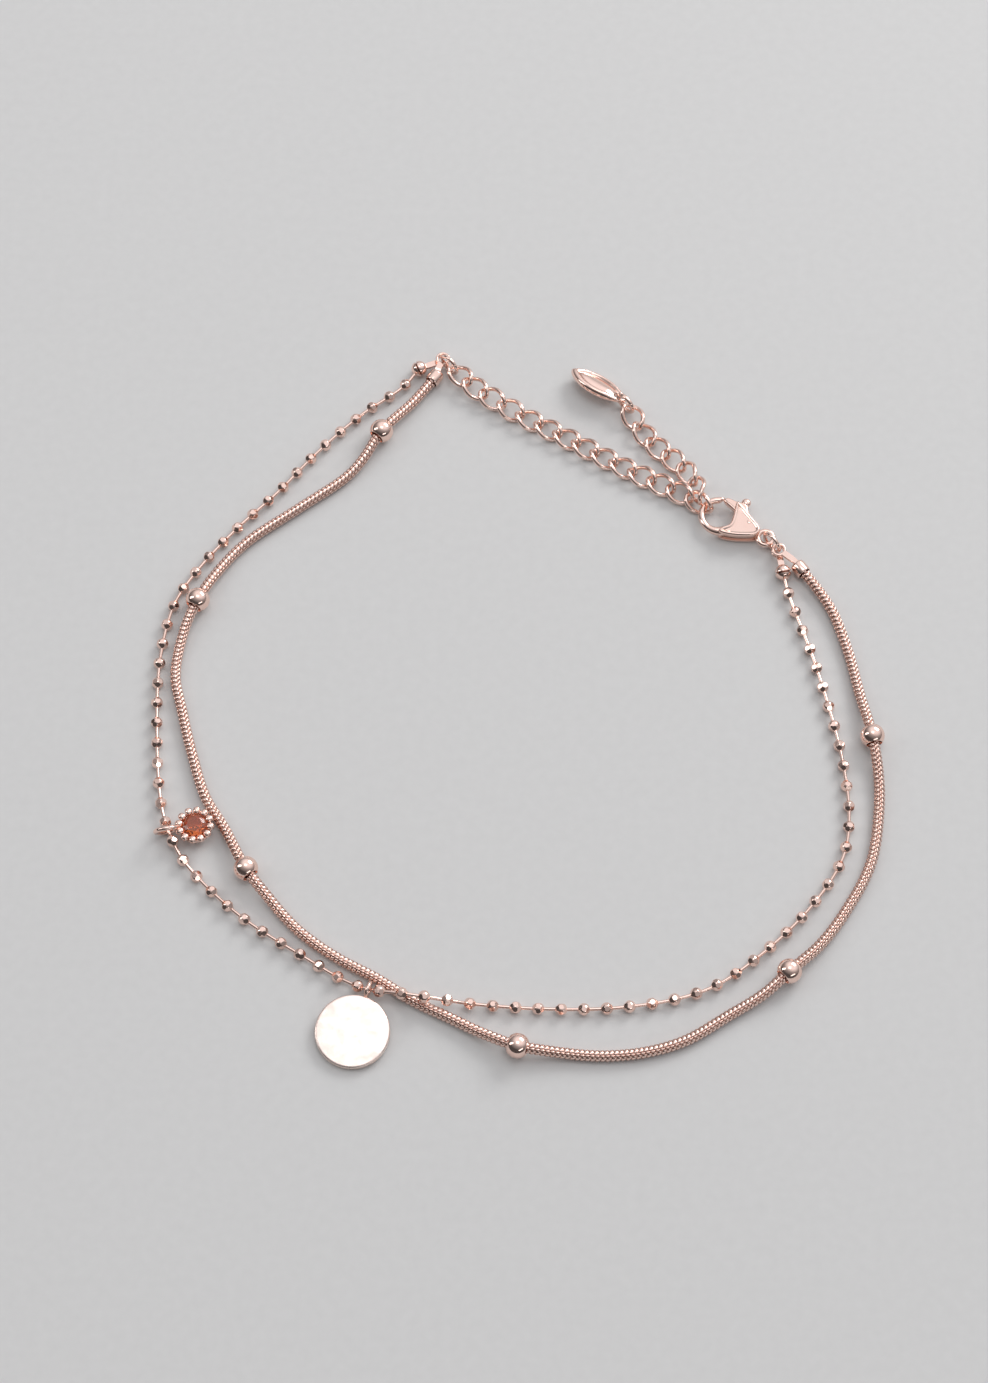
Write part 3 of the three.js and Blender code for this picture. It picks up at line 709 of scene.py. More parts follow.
# painted shade in the grooves: full at the foot of a band, gone as the band rises
PAINTED_SHADE_START = 1.05
PAINTED_SHADE_FADE = 1.5
FACE_TURNS = (-27, -18, -9, 0, 9, 18, 27)
CORNER_TURNS = ((32.5, 0), (38, 0.6), (45, 0.85), (52, 0.6), (57.5, 0))


def scale_columns():
    """Turn, start in band steps and bump height of each column of points."""
    columns = []
    for quarter in range(4):
        step = 0.5 * (quarter % 2)
        for turn in FACE_TURNS:
            across = turn / CORNER_TURNS[0][0]
            bump = math.cos(across * 1.4) ** 0.5
            columns.append((math.radians(90 * quarter + turn), step + BAND_SLANT * across, bump))
        for turn, bump in CORNER_TURNS:
            columns.append((math.radians(90 * quarter + turn), 0.25, bump))
    return np.array(columns).T


print("columns:", scale_columns().shape[1])

# %% Scale skin
SNAKE_ROLLS = [(0, 15), (30, 16), (39, 8), (41, -6), (60, -24), (73, -30), (76, -56), (110, -68), (136, -70),
               (150, -56), (172, -47), (176, -62), (186, -76), (195, -80)]
BEAD_PLACES = [9.5, 39.7, 74.2, 110.2, 141.75, 172.6]
SNAKE_REST = 0.6
HALF_GAP = 0.1

snake_span = LaidStrand(SNAKE_ROUTE, 0).span
snake_humps = [(0, 0.25, 5), (snake_span, 0.25, 5)] + [(place, 0.75, 4.5) for place in BEAD_PLACES]
snake_strand = LaidStrand(SNAKE_ROUTE, SNAKE_REST, snake_humps)


def scale_skin(start, end):
    """Points, faces and painted groove shade of one half of the chain."""
    turn, begin, bump = scale_columns()
    sides = len(turn)
    rings = int((end - start) / BAND_PITCH) * BAND_STEPS
    steps = np.arange(rings) / BAND_STEPS
    along = np.clip(start + (steps[:, None] + begin[None]) * BAND_PITCH, start, end)
    centre, heading = snake_strand.at(along), snake_strand.heading(along)
    side = np.cross(heading, UP)
    side /= np.linalg.norm(side, axis=-1, keepdims=True)
    lift = np.cross(side, heading)
    band = np.sin(np.pi * (steps % 1)) ** BAND_POWER
    height = band[:, None] * bump[None]
    square = (np.abs(np.cos(turn)) ** SECTION_POWER + np.abs(np.sin(turn)) ** SECTION_POWER)
    square **= -1 / SECTION_POWER
    radius = (SNAKE_CORE * square[None] + SNAKE_BAND * height)[..., None]
    angle = (np.radians(np.interp(along, *zip(*SNAKE_ROLLS))) + turn[None])[..., None]
    points = centre + radius * (np.cos(angle) * side + np.sin(angle) * lift)
    # painted shade: points low between the bands are painted dark
    painted_shade = np.clip(PAINTED_SHADE_START - PAINTED_SHADE_FADE * height, 0, 1)
    return (points.reshape(-1, 3), tube_faces(rings, sides)), painted_shade.ravel()


meeting = BEAD_PLACES[3]
left_scales, left_painted_shade = scale_skin(HALF_GAP, meeting - HALF_GAP)
right_scales, right_painted_shade = scale_skin(meeting + HALF_GAP, snake_span - HALF_GAP)
make_piece("snake_scales_left", left_scales, scale_gold, ["snake_chain_left"], painted_shade=left_painted_shade)
make_piece("snake_scales_right", right_scales, scale_gold, ["snake_chain_right"], painted_shade=right_painted_shade)
print("snake chain:", round(snake_span / BAND_PITCH), "bands on", round(snake_span, 2), "mm")

# %% [markdown]
# ## Round beads
# Six smooth hollow beads are threaded on the snake chain. Each is drilled, and the drill leaves a short
# turned-in lip at both holes. Turning the outline of the wall about the hole's axis gives the whole bead.

# %% Beads
BEAD_RADIUS = 1.35
BEAD_BORE = 0.86
BEAD_LIP = 0.05


def bead_outline():
    edge = math.asin((BEAD_BORE + BEAD_LIP) / BEAD_RADIUS)
    outline = []
    for step in range(25):
        angle = edge + (math.pi - 2 * edge) * step / 24
        outline.append((BEAD_RADIUS * math.sin(angle), -BEAD_RADIUS * math.cos(angle)))
    end = outline[-1][1]
    inner = [(BEAD_BORE + 0.015, end + 0.012), (BEAD_BORE, end - 0.02), (BEAD_BORE, -end + 0.02),
             (BEAD_BORE + 0.015, -end - 0.012)]
    return outline + inner


bead_shell = turned(bead_outline(), 48, closed=True)
for number, place in enumerate(BEAD_PLACES, 1):
    bead = moved(turned_about(bead_shell, snake_strand.heading(place)), snake_strand.at(place))
    make_piece(f"bead_{number}", bead, polished_gold, [f"round_bead_{number}"], crease=50)
print("beads:", len(BEAD_PLACES), "of", 2 * BEAD_RADIUS, "mm")

# %% [markdown]
# ## Ends of the strands
# Both strands end at a jump ring. The ball chain goes into a small shell folded round its last rod, which
# leaves a slit, and the snake chain into a sleeve. Each has a flat tab with an eye. The tab's outline is
# given by how far it reaches from the eye in every direction, so eye and neck come out as one plate.

# %% Tabs
TAB_EYE = 0.82
TAB_HOLE = 0.54
TAB_NECK = 0.36
TAB_THICK = 0.34
TAB_POINTS = 64
TAB_SOFT = 0.08


def tab_plate(root):
    """A flat eye at the origin with a neck running along -x to its root."""
    angle = np.linspace(0, 2 * np.pi, TAB_POINTS, endpoint=False)
    back = np.maximum(-np.cos(angle), 1e-6)
    neck = np.minimum(TAB_NECK / np.maximum(np.abs(np.sin(angle)), 1e-6), root / back)
    reach = np.where(np.cos(angle) < 0, np.maximum(TAB_EYE, neck), TAB_EYE)
    circle = np.stack((np.cos(angle), np.sin(angle)), 1)
    return holed_plate(circle * reach[:, None], circle * TAB_HOLE, TAB_THICK, TAB_SOFT)


def tab_to(centre, eye, height):
    run = np.array((eye[0] - centre[0], eye[1] - centre[1], 0.0))
    return placed(tab_plate(np.linalg.norm(run) - 0.2), (eye[0], eye[1], height), run)


LEFT_RING = np.array((-7.45, 42.45, 1.43))
LEFT_HEADING = unit((1, -1, 0))
RIGHT_RING = np.array((29.15, 19.1, 1.43))
RIGHT_HEADING = unit((0.63, -0.777, 0))
EYE_OUT = 1.13
BALL_TAB_HEIGHT = 0.92
SNAKE_TAB_HEIGHT = 1.44
left_eye = LEFT_RING - LEFT_HEADING * EYE_OUT
right_eye = RIGHT_RING + RIGHT_HEADING * EYE_OUT
print("eyes at", np.round(left_eye, 2).tolist(), np.round(right_eye, 2).tolist())

# %% Folded shells of the ball chain
SLIT_HALF = 0.085
SLIT_RADIUS = 0.74
SLIT_LEAN = math.radians(20)


def folded_shell():
    """A ball with a slit round it, turned about z, and a painted shade that darkens the points inside the
    slit.
    """
    lip = -SLIT_HALF - 0.02
    half = [p for p in egg(CAP_RADIUS, CAP_RADIUS, 32) if p[1] < lip]
    half += [(CAP_RADIUS * 0.985, lip), (CAP_RADIUS * 0.96, -SLIT_HALF), (SLIT_RADIUS, -SLIT_HALF)]
    shell = turned(half + [(r, -h) for r, h in reversed(half)], 36)
    out = np.hypot(shell[0][:, 0], shell[0][:, 1])
    # painted shade marks the points inside the slit
    return shell, ((out < SLIT_RADIUS + 0.01) & (np.abs(shell[0][:, 2]) < SLIT_HALF + 0.01)).astype(float)


def folded_end(name, node, along, eye):
    centre = ball_strand.at(along)
    run = unit((eye[0] - centre[0], eye[1] - centre[1], 0))
    axis = run * math.cos(SLIT_LEAN) + UP * math.sin(SLIT_LEAN)
    shell, painted_shade = folded_shell()
    tab = tab_to(centre, eye, BALL_TAB_HEIGHT)
    whole = merged(moved(turned_about(shell, axis), centre), tab)
    # painted shade in the slit only, none on the tab
    painted_shade = np.concatenate((painted_shade, np.zeros(len(tab[0]))))
    make_piece(name, whole, polished_gold, [node], crease=40, painted_shade=painted_shade)


folded_end("folded_end_left", "ball_end_left", 0.0, left_eye)
folded_end("folded_end_right", "ball_end_right", ball_span, right_eye)
print("folded ends of", 2 * CAP_RADIUS, "mm")

# %% Sleeves of the snake chain
SLEEVE_RADIUS = 0.85
SLEEVE_BORE = 0.71
SLEEVE_LENGTH = 1.6
SLEEVE_FLOOR = 0.45
SLEEVE_STOP = 0.35


def sleeve_shell():
    r, low, high = SLEEVE_RADIUS, -SLEEVE_FLOOR, SLEEVE_LENGTH - SLEEVE_FLOOR
    closed_end = [(0, low), (r - 0.45, low), (r - 0.29, low + 0.03), (r - 0.15, low + 0.11),
                  (r - 0.05, low + 0.23), (r, low + 0.4)]
    open_end = [(r, high - 0.16), (r - 0.02, high - 0.06), (r - 0.07, high), (SLEEVE_BORE + 0.03, high)]
    bore = [(SLEEVE_BORE, high - 0.03), (SLEEVE_BORE, SLEEVE_STOP), (0, SLEEVE_STOP)]
    return turned(closed_end + open_end + bore, 36)


def sleeve_end(name, node, along, outward, eye):
    centre = snake_strand.at(along) - outward * SLEEVE_FLOOR
    shell = moved(turned_about(sleeve_shell(), outward), centre)
    make_piece(name, merged(shell, tab_to(centre, eye, SNAKE_TAB_HEIGHT)), polished_gold, [node], crease=40)


sleeve_end("sleeve_left", "snake_end_left", 0.0, snake_strand.heading(0.1), left_eye)
sleeve_end("sleeve_right", "snake_end_right", snake_span, -snake_strand.heading(snake_span - 0.1), right_eye)
print("sleeves of", 2 * SLEEVE_RADIUS, "mm")

# %% Jump rings
END_RING_RADIUS = 1.2
END_RING_WIRE = 0.22


def standing_ring(name, node, centre, direction, radius, wire_radius):
    ring = wire_ring(radius, wire_radius, 44, 12)
    upright = (ring[0][:, (0, 2, 1)] * (1, -1, 1), ring[1])
    make_piece(name, placed(upright, centre, direction), polished_gold, [node])


standing_ring("end_ring_left", "jump_ring_left", LEFT_RING, LEFT_HEADING, END_RING_RADIUS, END_RING_WIRE)
standing_ring("end_ring_right", "jump_ring_right", RIGHT_RING, RIGHT_HEADING, END_RING_RADIUS, END_RING_WIRE)
print("jump rings at both ends")

# %% [markdown]
# ## Extension chain
# The links are ovals of round wire. Each oval is twisted by a quarter turn from end to end, as in a curb
# chain, so that a row of them lies flat and every link holds the next. The twist is part of the wire's path.

# %% Links
LINK_HALF = 1.64
LINK_SIDE = 1.12
LINK_WIRE = 0.25
LINK_PITCH = 2.475
LINK_TWIST = math.radians(45)
LINK_REST = 0.685
CHAIN_ROUTE = [
    (-6.25, 41.25), (-4.2, 39.35), (-0.4, 36.8), (6.2, 33.0), (12.5, 29.25), (18.8, 25.8), (21.4, 24.2),
]
CHAIN_HUMPS = [(0, 0.42, 3), (4.9, 0.35, 3.2), (32.2, 0.42, 5)]
CHAIN_ROLLS = [0, 12, 25, 12, 0, 0, 0, 0, 0, 0, 8, 18, 30, 43]
TAIL_ROUTE = [
    (20.7, 24.15), (20.9, 25.85), (19.75, 28.4), (18.2, 30.2), (16.4, 31.9), (14.7, 34.1), (12.6, 37.9),
]
TAIL_HUMPS = [(1.7, 0.82, 4), (8.2, 0.1, 3), (15.6, 0.4, 3)]
TAIL_ROLLS = [-55, -44, -30, -15, 0, -12]
TAIL_START = 1.7


def twisted_link():
    angle = np.linspace(0, 2 * np.pi, 56, endpoint=False)
    turn = LINK_TWIST * np.cos(angle)
    reach = LINK_SIDE * np.sin(angle)
    path = np.stack((LINK_HALF * np.cos(angle), reach * np.cos(turn), reach * np.sin(turn)), 1)
    return wire(path, LINK_WIRE, 12, closed=True)


link_shell = twisted_link()


def lay_links(strand, turns, start, name, node):
    for number, turn in enumerate(turns, 1):
        along = start + (number - 1) * LINK_PITCH
        forward = strand.heading(along)
        shell = placed(link_shell, strand.at(along), forward, rolled(forward, turn))
        make_piece(name.format(number), shell, polished_gold, [node.format(number)])


chain_strand = LaidStrand(CHAIN_ROUTE, LINK_REST, CHAIN_HUMPS)
tail_strand = LaidStrand(TAIL_ROUTE, LINK_REST, TAIL_HUMPS)
lay_links(chain_strand, CHAIN_ROLLS, 0.0, "oval_link_{:02d}", "chain_link_{:02d}")
lay_links(tail_strand, TAIL_ROLLS, TAIL_START, "oval_tail_{}", "tail_link_{}")
print("links:", len(CHAIN_ROLLS), "to the hook and", len(TAIL_ROLLS), "in the tail")

# %% [markdown]
# ## End drop
# The tail ends in a small pod-shaped drop with an eye in its narrow end. It has a fat rounded rim, a channel
# inside the rim and a low plain swelling in the middle. The skin is a net of points between the eye and the
# outline, and each point is raised by how far it lies from the outline: first the rim, then the channel,
# then the swelling. The outer rings follow the outline closely, which keeps the rim's shine even.

# %% Pod outline
TAIL_RING_RADIUS = 1.15
TAIL_RING_WIRE = 0.26
POD_TIP = 6.52
POD_END = -0.97
POD_WIDEST = 3.3
POD_WIDTH = 1.7
POD_HOLE = 0.58


def pod_width(x):
    """Half the pod's width at a place along it: blunt at the eye, pointed at the far tip."""
    blunt = np.clip(1 - ((x - POD_WIDEST) / (POD_END - POD_WIDEST)) ** 2, 0, 1) ** 0.62
    pointed = np.clip(1 - np.abs((x - POD_WIDEST) / (POD_TIP - POD_WIDEST)) ** 1.9, 0, 1) ** 0.78
    return POD_WIDTH * np.where(x < POD_WIDEST, blunt, pointed)


def pod_outline(count):
    """The outline with its eye at the origin; points share out both its length and the turn about the eye."""
    turn = np.linspace(0, 2 * np.pi, 4000, endpoint=False)
    x = (POD_TIP + POD_END) / 2 + (POD_TIP - POD_END) / 2 * np.cos(turn)
    line = np.stack((x, np.sign(np.sin(turn)) * pod_width(x)), 1)
    length = np.linalg.norm(np.diff(line, axis=0), axis=1)
    swing = np.diff(np.unwrap(np.arctan2(line[:, 1], line[:, 0])))
    share = np.cumsum(length / length.sum() + swing / swing.sum())
    return line[np.searchsorted(share, np.linspace(0, share[-1], count, endpoint=False))]


print("pod:", round(POD_TIP - POD_END, 2), "x", 2 * POD_WIDTH, "mm")

# %% Drop skin
RIM_STEPS = (0.36, 0.29, 0.22, 0.16, 0.11, 0.07, 0.035, 0.01, 0)
POD_EDGE = 0.1
RIM_RISE = 0.375
UNDER_RISE = 0.34
CHANNEL_DEPTH = 0.32
CHANNEL_WIDTH = 0.36
SWELL_RISE = 0.24
POD_NET = np.linspace(0, 1, 30, endpoint=False)


def pod_heights(rim, points):
    """Height above and below the middle, and a painted shade in the channel, from the distance to the outline
    and to the eye.
    """
    eye = np.linalg.norm(points, axis=1) - POD_HOLE
    rise = np.sqrt(1 - (1 - np.clip(rim / RIM_STEPS[0], 0, 1)) ** 2)
    fall = np.clip((rim - RIM_STEPS[0]) / CHANNEL_WIDTH, 0, 1)
    inner = np.maximum(pod_width(points[:, 0]) - 0.6, 1e-3)
    swell = np.clip(1 - (points[:, 1] / inner) ** 2, 0, 1) * np.clip(inner / 0.9, 0, 1)
    channel = CHANNEL_DEPTH * fall**2 * (3 - 2 * fall)
    top = POD_EDGE + RIM_RISE * rise - channel + SWELL_RISE * swell
    under = POD_EDGE + UNDER_RISE * rise
    thin = np.clip((points[:, 0] + 0.2) / 1.9, 0, 1)
    thin = 0.6 + 0.4 * thin**2 * (3 - 2 * thin)
    edge = 0.14 * (1 - np.clip(eye / 0.16, 0, 1)) ** 2
    # painted shade: a dark band down in the channel inside the rim, away from the eye
    painted_shade = 0.75 * np.exp(-(((rim - 0.7) / 0.11) ** 2)) * (points[:, 0] > 0.9)
    return top * thin - edge, under * thin - edge, painted_shade


def pod_ring(outline, depth):
    """A smaller pod inside the outline: by the depth at the sides and the eye, by more at the tip."""
    shrink = 1 - 2.6 * depth / (POD_TIP - POD_END)
    x = POD_END + depth + (outline[:, 0] - POD_END) * shrink
    return np.stack((x, outline[:, 1] * (1 - depth / POD_WIDTH)), 1)


def drop_shell():
    """Net rings from the eye to the crest of the rim, then rim rings that follow the outline."""
    outline = pod_outline(156)
    crest = pod_ring(outline, RIM_STEPS[0])
    fine_crest = pod_ring(pod_outline(1200), RIM_STEPS[0])
    turn = np.arctan2(crest[:, 1], crest[:, 0])
    hole = POD_HOLE * np.stack((np.cos(turn), np.sin(turn)), 1)
    rings, rims = [], []
    for part in POD_NET:
        ring = hole * (1 - part) + crest * part
        away = np.linalg.norm(ring[:, None] - fine_crest[None], axis=2).min(1)
        rings.append(ring)
        rims.append(RIM_STEPS[0] + away)
    for depth in RIM_STEPS:
        rings.append(pod_ring(outline, depth))
        rims.append(np.full(len(outline), depth))
    points, rims = np.concatenate(rings), np.concatenate(rims)
    top, under, painted_shade = pod_heights(rims, points)
    upper = np.column_stack((points, top))
    lower = np.column_stack((points, -under)).reshape(len(rings), -1, 3)[::-1].reshape(-1, 3)
    faces = ring_faces(2 * len(rings), len(outline), True)
    return (np.concatenate((upper, lower)), faces), np.concatenate((painted_shade, np.zeros(len(points))))


print("rim rings:", len(RIM_STEPS), "net rings:", len(POD_NET))

# %% Drop on its ring
TAIL_RING_HEADING = unit((-0.67, 0.743, 0))
DROP_HEADING = unit((-0.83, 0.56, 0))
DROP_HEIGHT = 1.25
DROP_ROLL = 28

last_link = TAIL_START + (len(TAIL_ROLLS) - 1) * LINK_PITCH
tail_ring = tail_strand.at(last_link) + tail_strand.heading(last_link) * (LINK_HALF + 0.1)
tail_ring[2] = TAIL_RING_RADIUS + TAIL_RING_WIRE
standing_ring("oval_tail_ring", "tail_ring", tail_ring, TAIL_RING_HEADING, TAIL_RING_RADIUS, TAIL_RING_WIRE)
drop_eye = tail_ring + TAIL_RING_HEADING * (TAIL_RING_RADIUS + 0.04)
drop_eye[2] = DROP_HEIGHT
drop, drop_painted_shade = drop_shell()
drop = placed(drop, drop_eye, DROP_HEADING, rolled(DROP_HEADING, DROP_ROLL))
make_piece("pod_drop", drop, polished_gold, ["end_drop"], painted_shade=drop_painted_shade)
print("drop:", len(drop[1]), "faces")

# %% [markdown]
# ## Disc charm
# A flat disc with a softened rim hangs from a small ring soldered on edge. The disc's face and rim are satin,
# so it takes the light as one pale sheet; the small ring is polished. The disc lies tilted, with its front
# edge on the table.

# %% Disc
DISC_RADIUS = 4.0
DISC_HALF = 0.4
DISC_CHAMFER = 0.14
DISC_RING_OUT = 0.87
DISC_TILT = math.radians(4.6)
DISC_FLAT = 2.4
DISC_LOOP_RADIUS = 0.7
DISC_LOOP_WIRE = 0.25
DISC_HANG = unit((-0.329, -0.945, 0))
DISC_RIM = [(3.74, 0.4), (3.82, 0.395), (3.89, 0.375), (3.95, 0.33), (3.985, 0.26), (4.0, 0.16)]

disc_profile = [(0, -DISC_HALF), (DISC_FLAT, -DISC_HALF)] + [(r, -h) for r, h in DISC_RIM]
disc_profile += DISC_RIM[::-1] + [(DISC_FLAT, DISC_HALF), (0, DISC_HALF)]
disc_plate = turned(disc_profile, 96)
disc_loop = wire_ring(DISC_LOOP_RADIUS, DISC_LOOP_WIRE, 32, 12)
disc_loop = (disc_loop[0][:, (2, 0, 1)] + (0, DISC_RADIUS + DISC_RING_OUT, 0), disc_loop[1])
disc_rod = ball_strand.at(ball_place(DISC_PLACE))
disc_forward = unit(np.cross(UP, DISC_HANG))
disc_centre = disc_rod + DISC_HANG * (DISC_RADIUS + DISC_RING_OUT)
disc_centre[2] = (DISC_RADIUS - DISC_CHAMFER) * math.sin(DISC_TILT) + DISC_HALF * math.cos(DISC_TILT)
disc_up = rolled(disc_forward, math.degrees(DISC_TILT))
disc = placed(merged(disc_plate, disc_loop), disc_centre, disc_forward, disc_up)
disc_piece = make_piece("plain_disc", disc, satin_gold, ["disc_charm"], crease=35)
disc_piece.data.materials.append(polished_gold)
ring_start = len(disc_plate[1])
for face in disc_piece.data.polygons[ring_start:]:
    face.material_index = 1
print("disc:", 2 * DISC_RADIUS, "mm across, centre", np.round(disc_centre, 2).tolist())

# %% [markdown]
# ## Stone charm
# The stone sits in an open basket. A wire ring is the foot, a thinner one is the seat, and twelve posts lean
# out between them and end in round beads that are pushed over the stone's edge. A larger ring, soldered to
# the side and leaning a little, carries the charm on the ball chain.

# %% Basket
CHARM_PLACE = (-34.75, -15.55, 0)
CHARM_FORWARD = (0.98, 0.17, 0)
POSTS = 12
BASKET_FOOT = 1.3
PRONG_HALF = (0.44, 0.4, 0.34)
PRONG_OUT = 1.71
PRONG_HEIGHT = 1.68
BASKET_RINGS = [(BASKET_FOOT, 0.2, 0.2), (1.66, 0.17, 1.02), (1.5, 0.1, 0.62)]
POST_LINE = [(BASKET_FOOT, 0.2), (1.5, 0.75), (1.7, 1.2), (1.79, 1.5)]
POST_WIRE = (0.15, 0.17, 0.22, 0.25)
BAIL_RADIUS = 1.22
BAIL_WIRE = 0.27
BAIL_OUT = 3.05
BAIL_HEIGHT = 1.49
BAIL_LEAN = math.radians(13)


def prong_bead():
    """A rounded pill along x, a little squarer than an egg."""
    ball = turned(egg(1, 1, 12), 18)
    return np.sign(ball[0]) * np.abs(ball[0]) ** 0.86 * PRONG_HALF, ball[1]


def turned_round(points, turn):
    c, s = math.cos(turn), math.sin(turn)
    return points @ np.array(((c, s, 0), (-s, c, 0), (0, 0, 1)))


def basket():
    shells = [moved(wire_ring(r, w, 48, 10), (0, 0, height)) for r, w, height in BASKET_RINGS]
    bead = prong_bead()
    for post in range(POSTS):
        turn = 2 * math.pi * (post + 0.5) / POSTS
        out = np.array((math.cos(turn), math.sin(turn), 0))
        path = [out * r + (0, 0, h) for r, h in POST_LINE]
        shells.append(wire(path, POST_WIRE, 8))
        shells.append((turned_round(bead[0] + (PRONG_OUT, 0, PRONG_HEIGHT), turn), bead[1]))
    loop = wire_ring(BAIL_RADIUS, BAIL_WIRE, 44, 12)
    x, y, z = loop[0].T
    c, s = math.cos(BAIL_LEAN), math.sin(BAIL_LEAN)
    lean = np.stack((x - BAIL_OUT, -y * s - z * c, y * c - z * s + BAIL_HEIGHT), 1)
    return merged(*shells, (lean, loop[1]))


setting = placed(basket(), CHARM_PLACE, CHARM_FORWARD)
make_piece("open_basket", setting, polished_gold, ["stone_setting"], crease=60)
print("basket:", POSTS, "posts")

# %% Cut stone
GIRDLE = 1.42
TABLE = 0.86
CROWN = 0.42
PAVILION = 0.85
GIRDLE_HEIGHT = 1.62
GIRDLE_EDGE = 0.04
CROWN_KITE = (1.14, 0.27)
UNDER_KITE = (0.62, -0.5)


def brilliant():
    """Table, stars, kites and girdle facets above; kites and girdle facets below, meeting in a point."""
    def row(count, start, radius, height):
        turns = [2 * math.pi * (k + start) / count for k in range(count)]
        return [(radius * math.cos(t), radius * math.sin(t), height) for t in turns]

    points = row(8, 0, TABLE, CROWN) + row(8, 0.5, *CROWN_KITE) + row(16, 0, GIRDLE, GIRDLE_EDGE)
    points += row(16, 0, GIRDLE, -GIRDLE_EDGE) + row(8, 0.5, *UNDER_KITE) + [(0, 0, -PAVILION)]
    table, crown, upper, lower, under, tip = 0, 8, 16, 32, 48, 56
    faces = [tuple(range(8))]
    for k in range(8):
        n, b = (k + 1) % 8, (k - 1) % 8
        g0, g1, g2 = 2 * k, 2 * k + 1, (2 * k + 2) % 16
        faces += [(table + k, crown + k, table + n), (table + k, crown + b, upper + g0, crown + k)]
        faces += [(crown + k, upper + g0, upper + g1), (crown + k, upper + g1, upper + g2)]
        faces += [(upper + g, lower + g, lower + h, upper + h) for g, h in ((g0, g1), (g1, g2))]
        faces += [(under + k, lower + g1, lower + g0), (under + k, lower + g2, lower + g1)]
        faces += [(tip, under + k, lower + g0, under + b)]
    return np.array(points) + (0, 0, GIRDLE_HEIGHT), faces


stone = placed(brilliant(), CHARM_PLACE, CHARM_FORWARD)
stone_piece = make_piece("cut_stone", stone, red_stone, ["stone"], crease=1)
stone_piece.data.polygons.foreach_set("use_smooth", np.zeros(len(stone_piece.data.polygons), bool))
print("stone:", len(stone_piece.data.polygons), "facets")

# %% [markdown]
# ## Lobster clasp
# The clasp's hook is a thick round wire. Behind it two shield-shaped cheeks with raised edges and a hollow
# face hold a lever between them, and a spine joins the cheeks on one side. The lever turns on a pin and has
# a round nub for the thumb. Everything is drawn with the end ring at the origin and the hook along x.

# %% Clasp frame
CLASP_HALF = 0.95
CLASP_EYE_OUT = 1.09
CLASP_EYE_RADIUS = 0.87
CLASP_EYE_WIRE = 0.29
CLASP_FORWARD = (-0.875, 0.485, 0)
CLASP_UP = np.array((0, 0, -1.0))
HOOK_X = 5.9
HOOK_RADIUS = 2.0
HOOK_WIRE = 0.39
PIVOT = np.array((2.4, 0.6))
clasp_end = RIGHT_RING - RIGHT_HEADING * CLASP_EYE_OUT
clasp_end[2] = CLASP_HALF
KEEL = [(0.8, -0.5), (1.9, -1.2), (3.2, -1.85), (4.5, -2.25), (5.1, -2.1), (4.75, -1.35), (4.15, -0.75)]
CHEEK = KEEL + [(4.35, 0.4), (4.95, 2.35), (4.5, 2.3), (2.6, 1.35), (0.8, 0.5)]
SPINE = KEEL + [(2.6, -0.4), (1.6, -0.15), (1.35, 0.5), (1.1, 0.62), (0.8, 0.5)]


def softened(outline, rounds=2):
    """An outline with its corners cut off again and again until it is smooth."""
    outline = np.array(outline, float)
    for _ in range(rounds):
        after = np.roll(outline, -1, 0)
        outline = np.stack((0.75 * outline + 0.25 * after, 0.25 * outline + 0.75 * after), 1).reshape(-1, 2)
    return outline


def in_clasp(shell):
    return placed(shell, clasp_end, CLASP_FORWARD, CLASP_UP)


print("clasp from", np.round(clasp_end, 2).tolist())

# %% Cheeks and spine
CHEEK_LEVELS = [(0.12, 0.45), (0.03, 0.47), (0, 0.55), (0, 0.7), (0.03, 0.81), (0.09, 0.9), (0.17, 0.945),
                (0.25, 0.945), (0.34, 0.9), (0.43, 0.84), (0.51, 0.81), (0.56, 0.805)]
SPINE_LEVELS = [(0.24, -0.5), (0.22, 0.5)]

cheek = plate(softened(CHEEK), CHEEK_LEVELS)
spine = plate(softened(SPINE), SPINE_LEVELS)
print("cheek:", len(cheek[1]), "faces")

# %% Hook
HOOK_SIDES = 18
HOOK_STEPS = 60
HOOK_START = math.radians(-135)
LEVER_SWEEP = 4.27


def hook_end(reach, sweep):
    """The turn at which a line of the hook at this reach comes within the lever's sweep."""
    low, high = math.radians(40), math.radians(95)
    for _ in range(40):
        turn = (low + high) / 2
        from_pivot = math.hypot(HOOK_X + reach * math.cos(turn) - PIVOT[0], reach * math.sin(turn) - PIVOT[1])
        low, high = (turn, high) if from_pivot > sweep else (low, turn)
    return low


def hook_shell():
    """A round wire that swells into the body at its start and is cut along the lever's sweep at its tip."""
    points = []
    section = np.linspace(0, 2 * np.pi, HOOK_SIDES, endpoint=False)
    ends = np.array([hook_end(HOOK_RADIUS + HOOK_WIRE * math.cos(a), LEVER_SWEEP) for a in section])
    for step in range(HOOK_STEPS + 1):
        part = step / HOOK_STEPS
        swell = max(0.0, 1 - part / 0.3)
        wire_radius = HOOK_WIRE + 0.17 * swell**2 * (3 - 2 * swell)
        if step == HOOK_STEPS:
            wire_radius = HOOK_WIRE * 0.84
        turn = HOOK_START + part * (ends - HOOK_START)
        reach = HOOK_RADIUS + wire_radius * np.cos(section)
        points.append(np.stack(
            (HOOK_X + reach * np.cos(turn), reach * np.sin(turn), wire_radius * np.sin(section)), 1,
        ))
    return np.concatenate(points), tube_faces(HOOK_STEPS + 1, HOOK_SIDES)


hook = hook_shell()
print("hook:", len(hook[1]), "faces")

# %% Clasp shell
PIN_HALF = 0.83
PIN_RADIUS = 0.3
PIN_EDGE = [(0, PIN_HALF), (PIN_RADIUS - 0.06, PIN_HALF), (PIN_RADIUS, PIN_HALF - 0.04)]

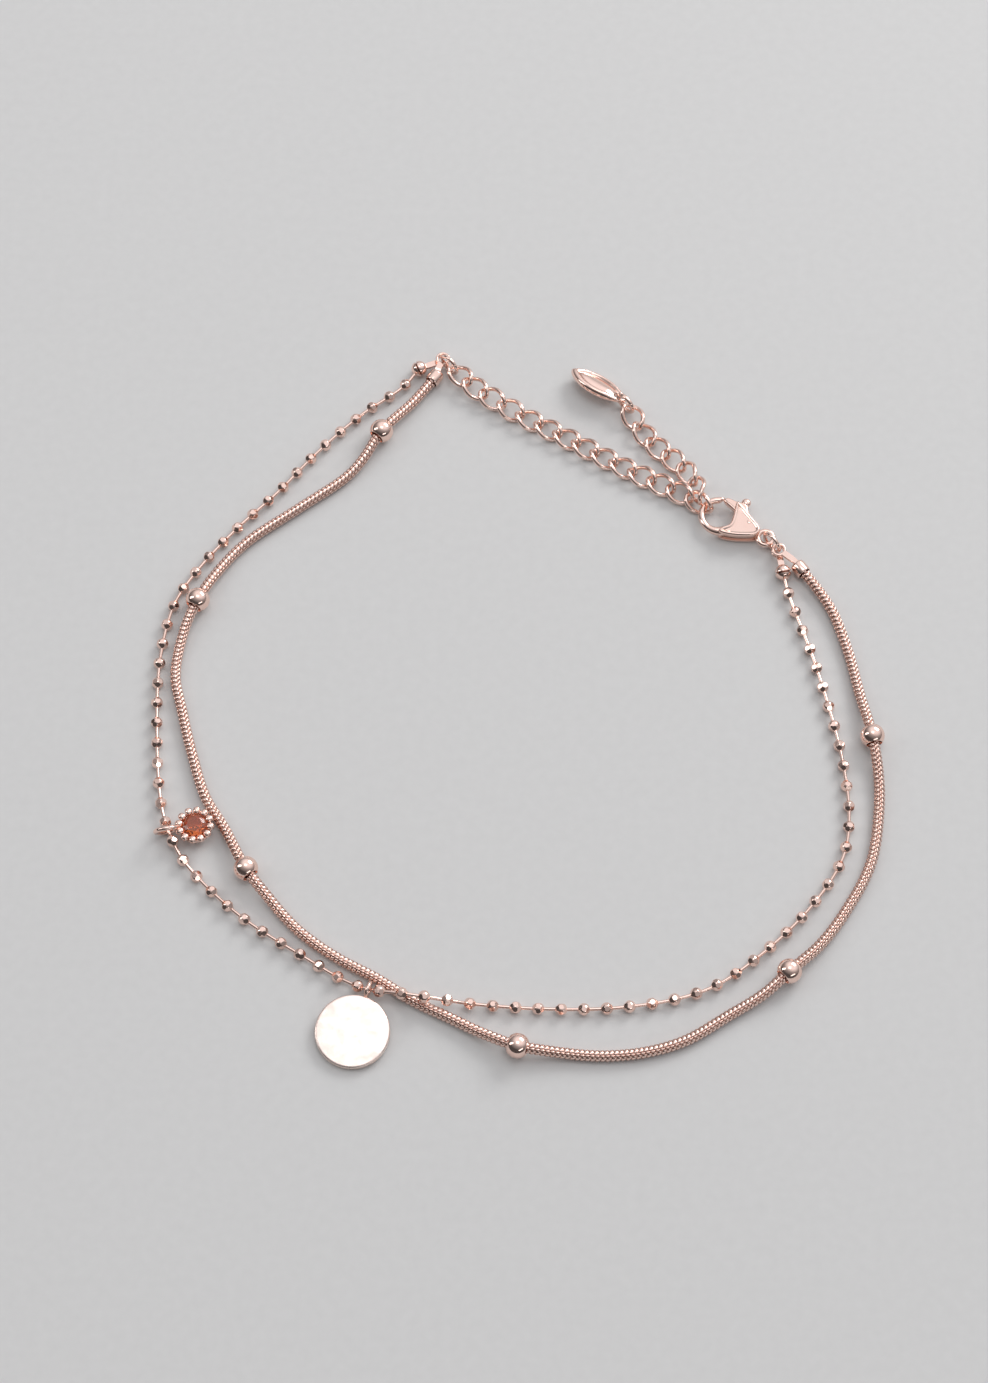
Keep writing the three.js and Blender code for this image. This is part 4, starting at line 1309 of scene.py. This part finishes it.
clasp_ring = wire_ring(CLASP_EYE_RADIUS, CLASP_EYE_WIRE, 40, 14)
pin = moved(turned([(r, -h) for r, h in PIN_EDGE] + PIN_EDGE[::-1], 20), (*PIVOT, 0))
clasp = merged(cheek, mirrored(cheek), spine, hook, clasp_ring, pin)
make_piece("clasp_shell", in_clasp(clasp), polished_gold, ["clasp_body"], crease=50)
print("clasp shell:", len(clasp[1]), "faces")

# %% Lever
LEVER_ARM = [
    (2.92, 0.3), (4.5, 1.3), (6.36, 1.8), (6.26, 2.18), (6.1, 2.5), (4.75, 2.5), (4.4, 2.7), (3.6, 2.7),
    (3.3, 2.05), (2.146, 1.144), (2.21, 1.008), (2.478, 1.043), (2.718, 0.918), (2.843, 0.678), (2.79, 0.375),
]
ARM_EDGE = [(0, 0.12), (0.02, 0.24), (0.1, 0.32), (0.22, 0.34)]
HUB_RADIUS = 0.62
HUB_BORE = 0.4
HUB_THICK = 0.66
HUB_SOFT = 0.07
KNOB_PLACE = (3.95, 2.95, 0)
KNOB_RADIUS = 0.55
KNOB_HALF = 0.37

arm = plate(softened(LEVER_ARM), [(depth, -height) for depth, height in ARM_EDGE[::-1]] + ARM_EDGE)
round_turns = np.linspace(0, 2 * np.pi, 32, endpoint=False)
round_line = np.stack((np.cos(round_turns), np.sin(round_turns)), 1)
hub = holed_plate(round_line * HUB_RADIUS, round_line * HUB_BORE, HUB_THICK, HUB_SOFT)
knob = turned(egg(KNOB_RADIUS, KNOB_HALF, 16), 24)
lever = merged(arm, moved(hub, (*PIVOT, 0)), moved(knob, KNOB_PLACE))
make_piece("thumb_lever", in_clasp(lever), polished_gold, ["clasp_lever"], body="lever", crease=50)
print("lever:", len(lever[1]), "faces")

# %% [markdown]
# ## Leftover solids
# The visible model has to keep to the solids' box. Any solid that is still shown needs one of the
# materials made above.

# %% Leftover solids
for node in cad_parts.values():
    if not node.hide_render:
        node.data.materials.clear()
        node.data.materials.append(polished_gold)
        print("shown as it is:", node.name)
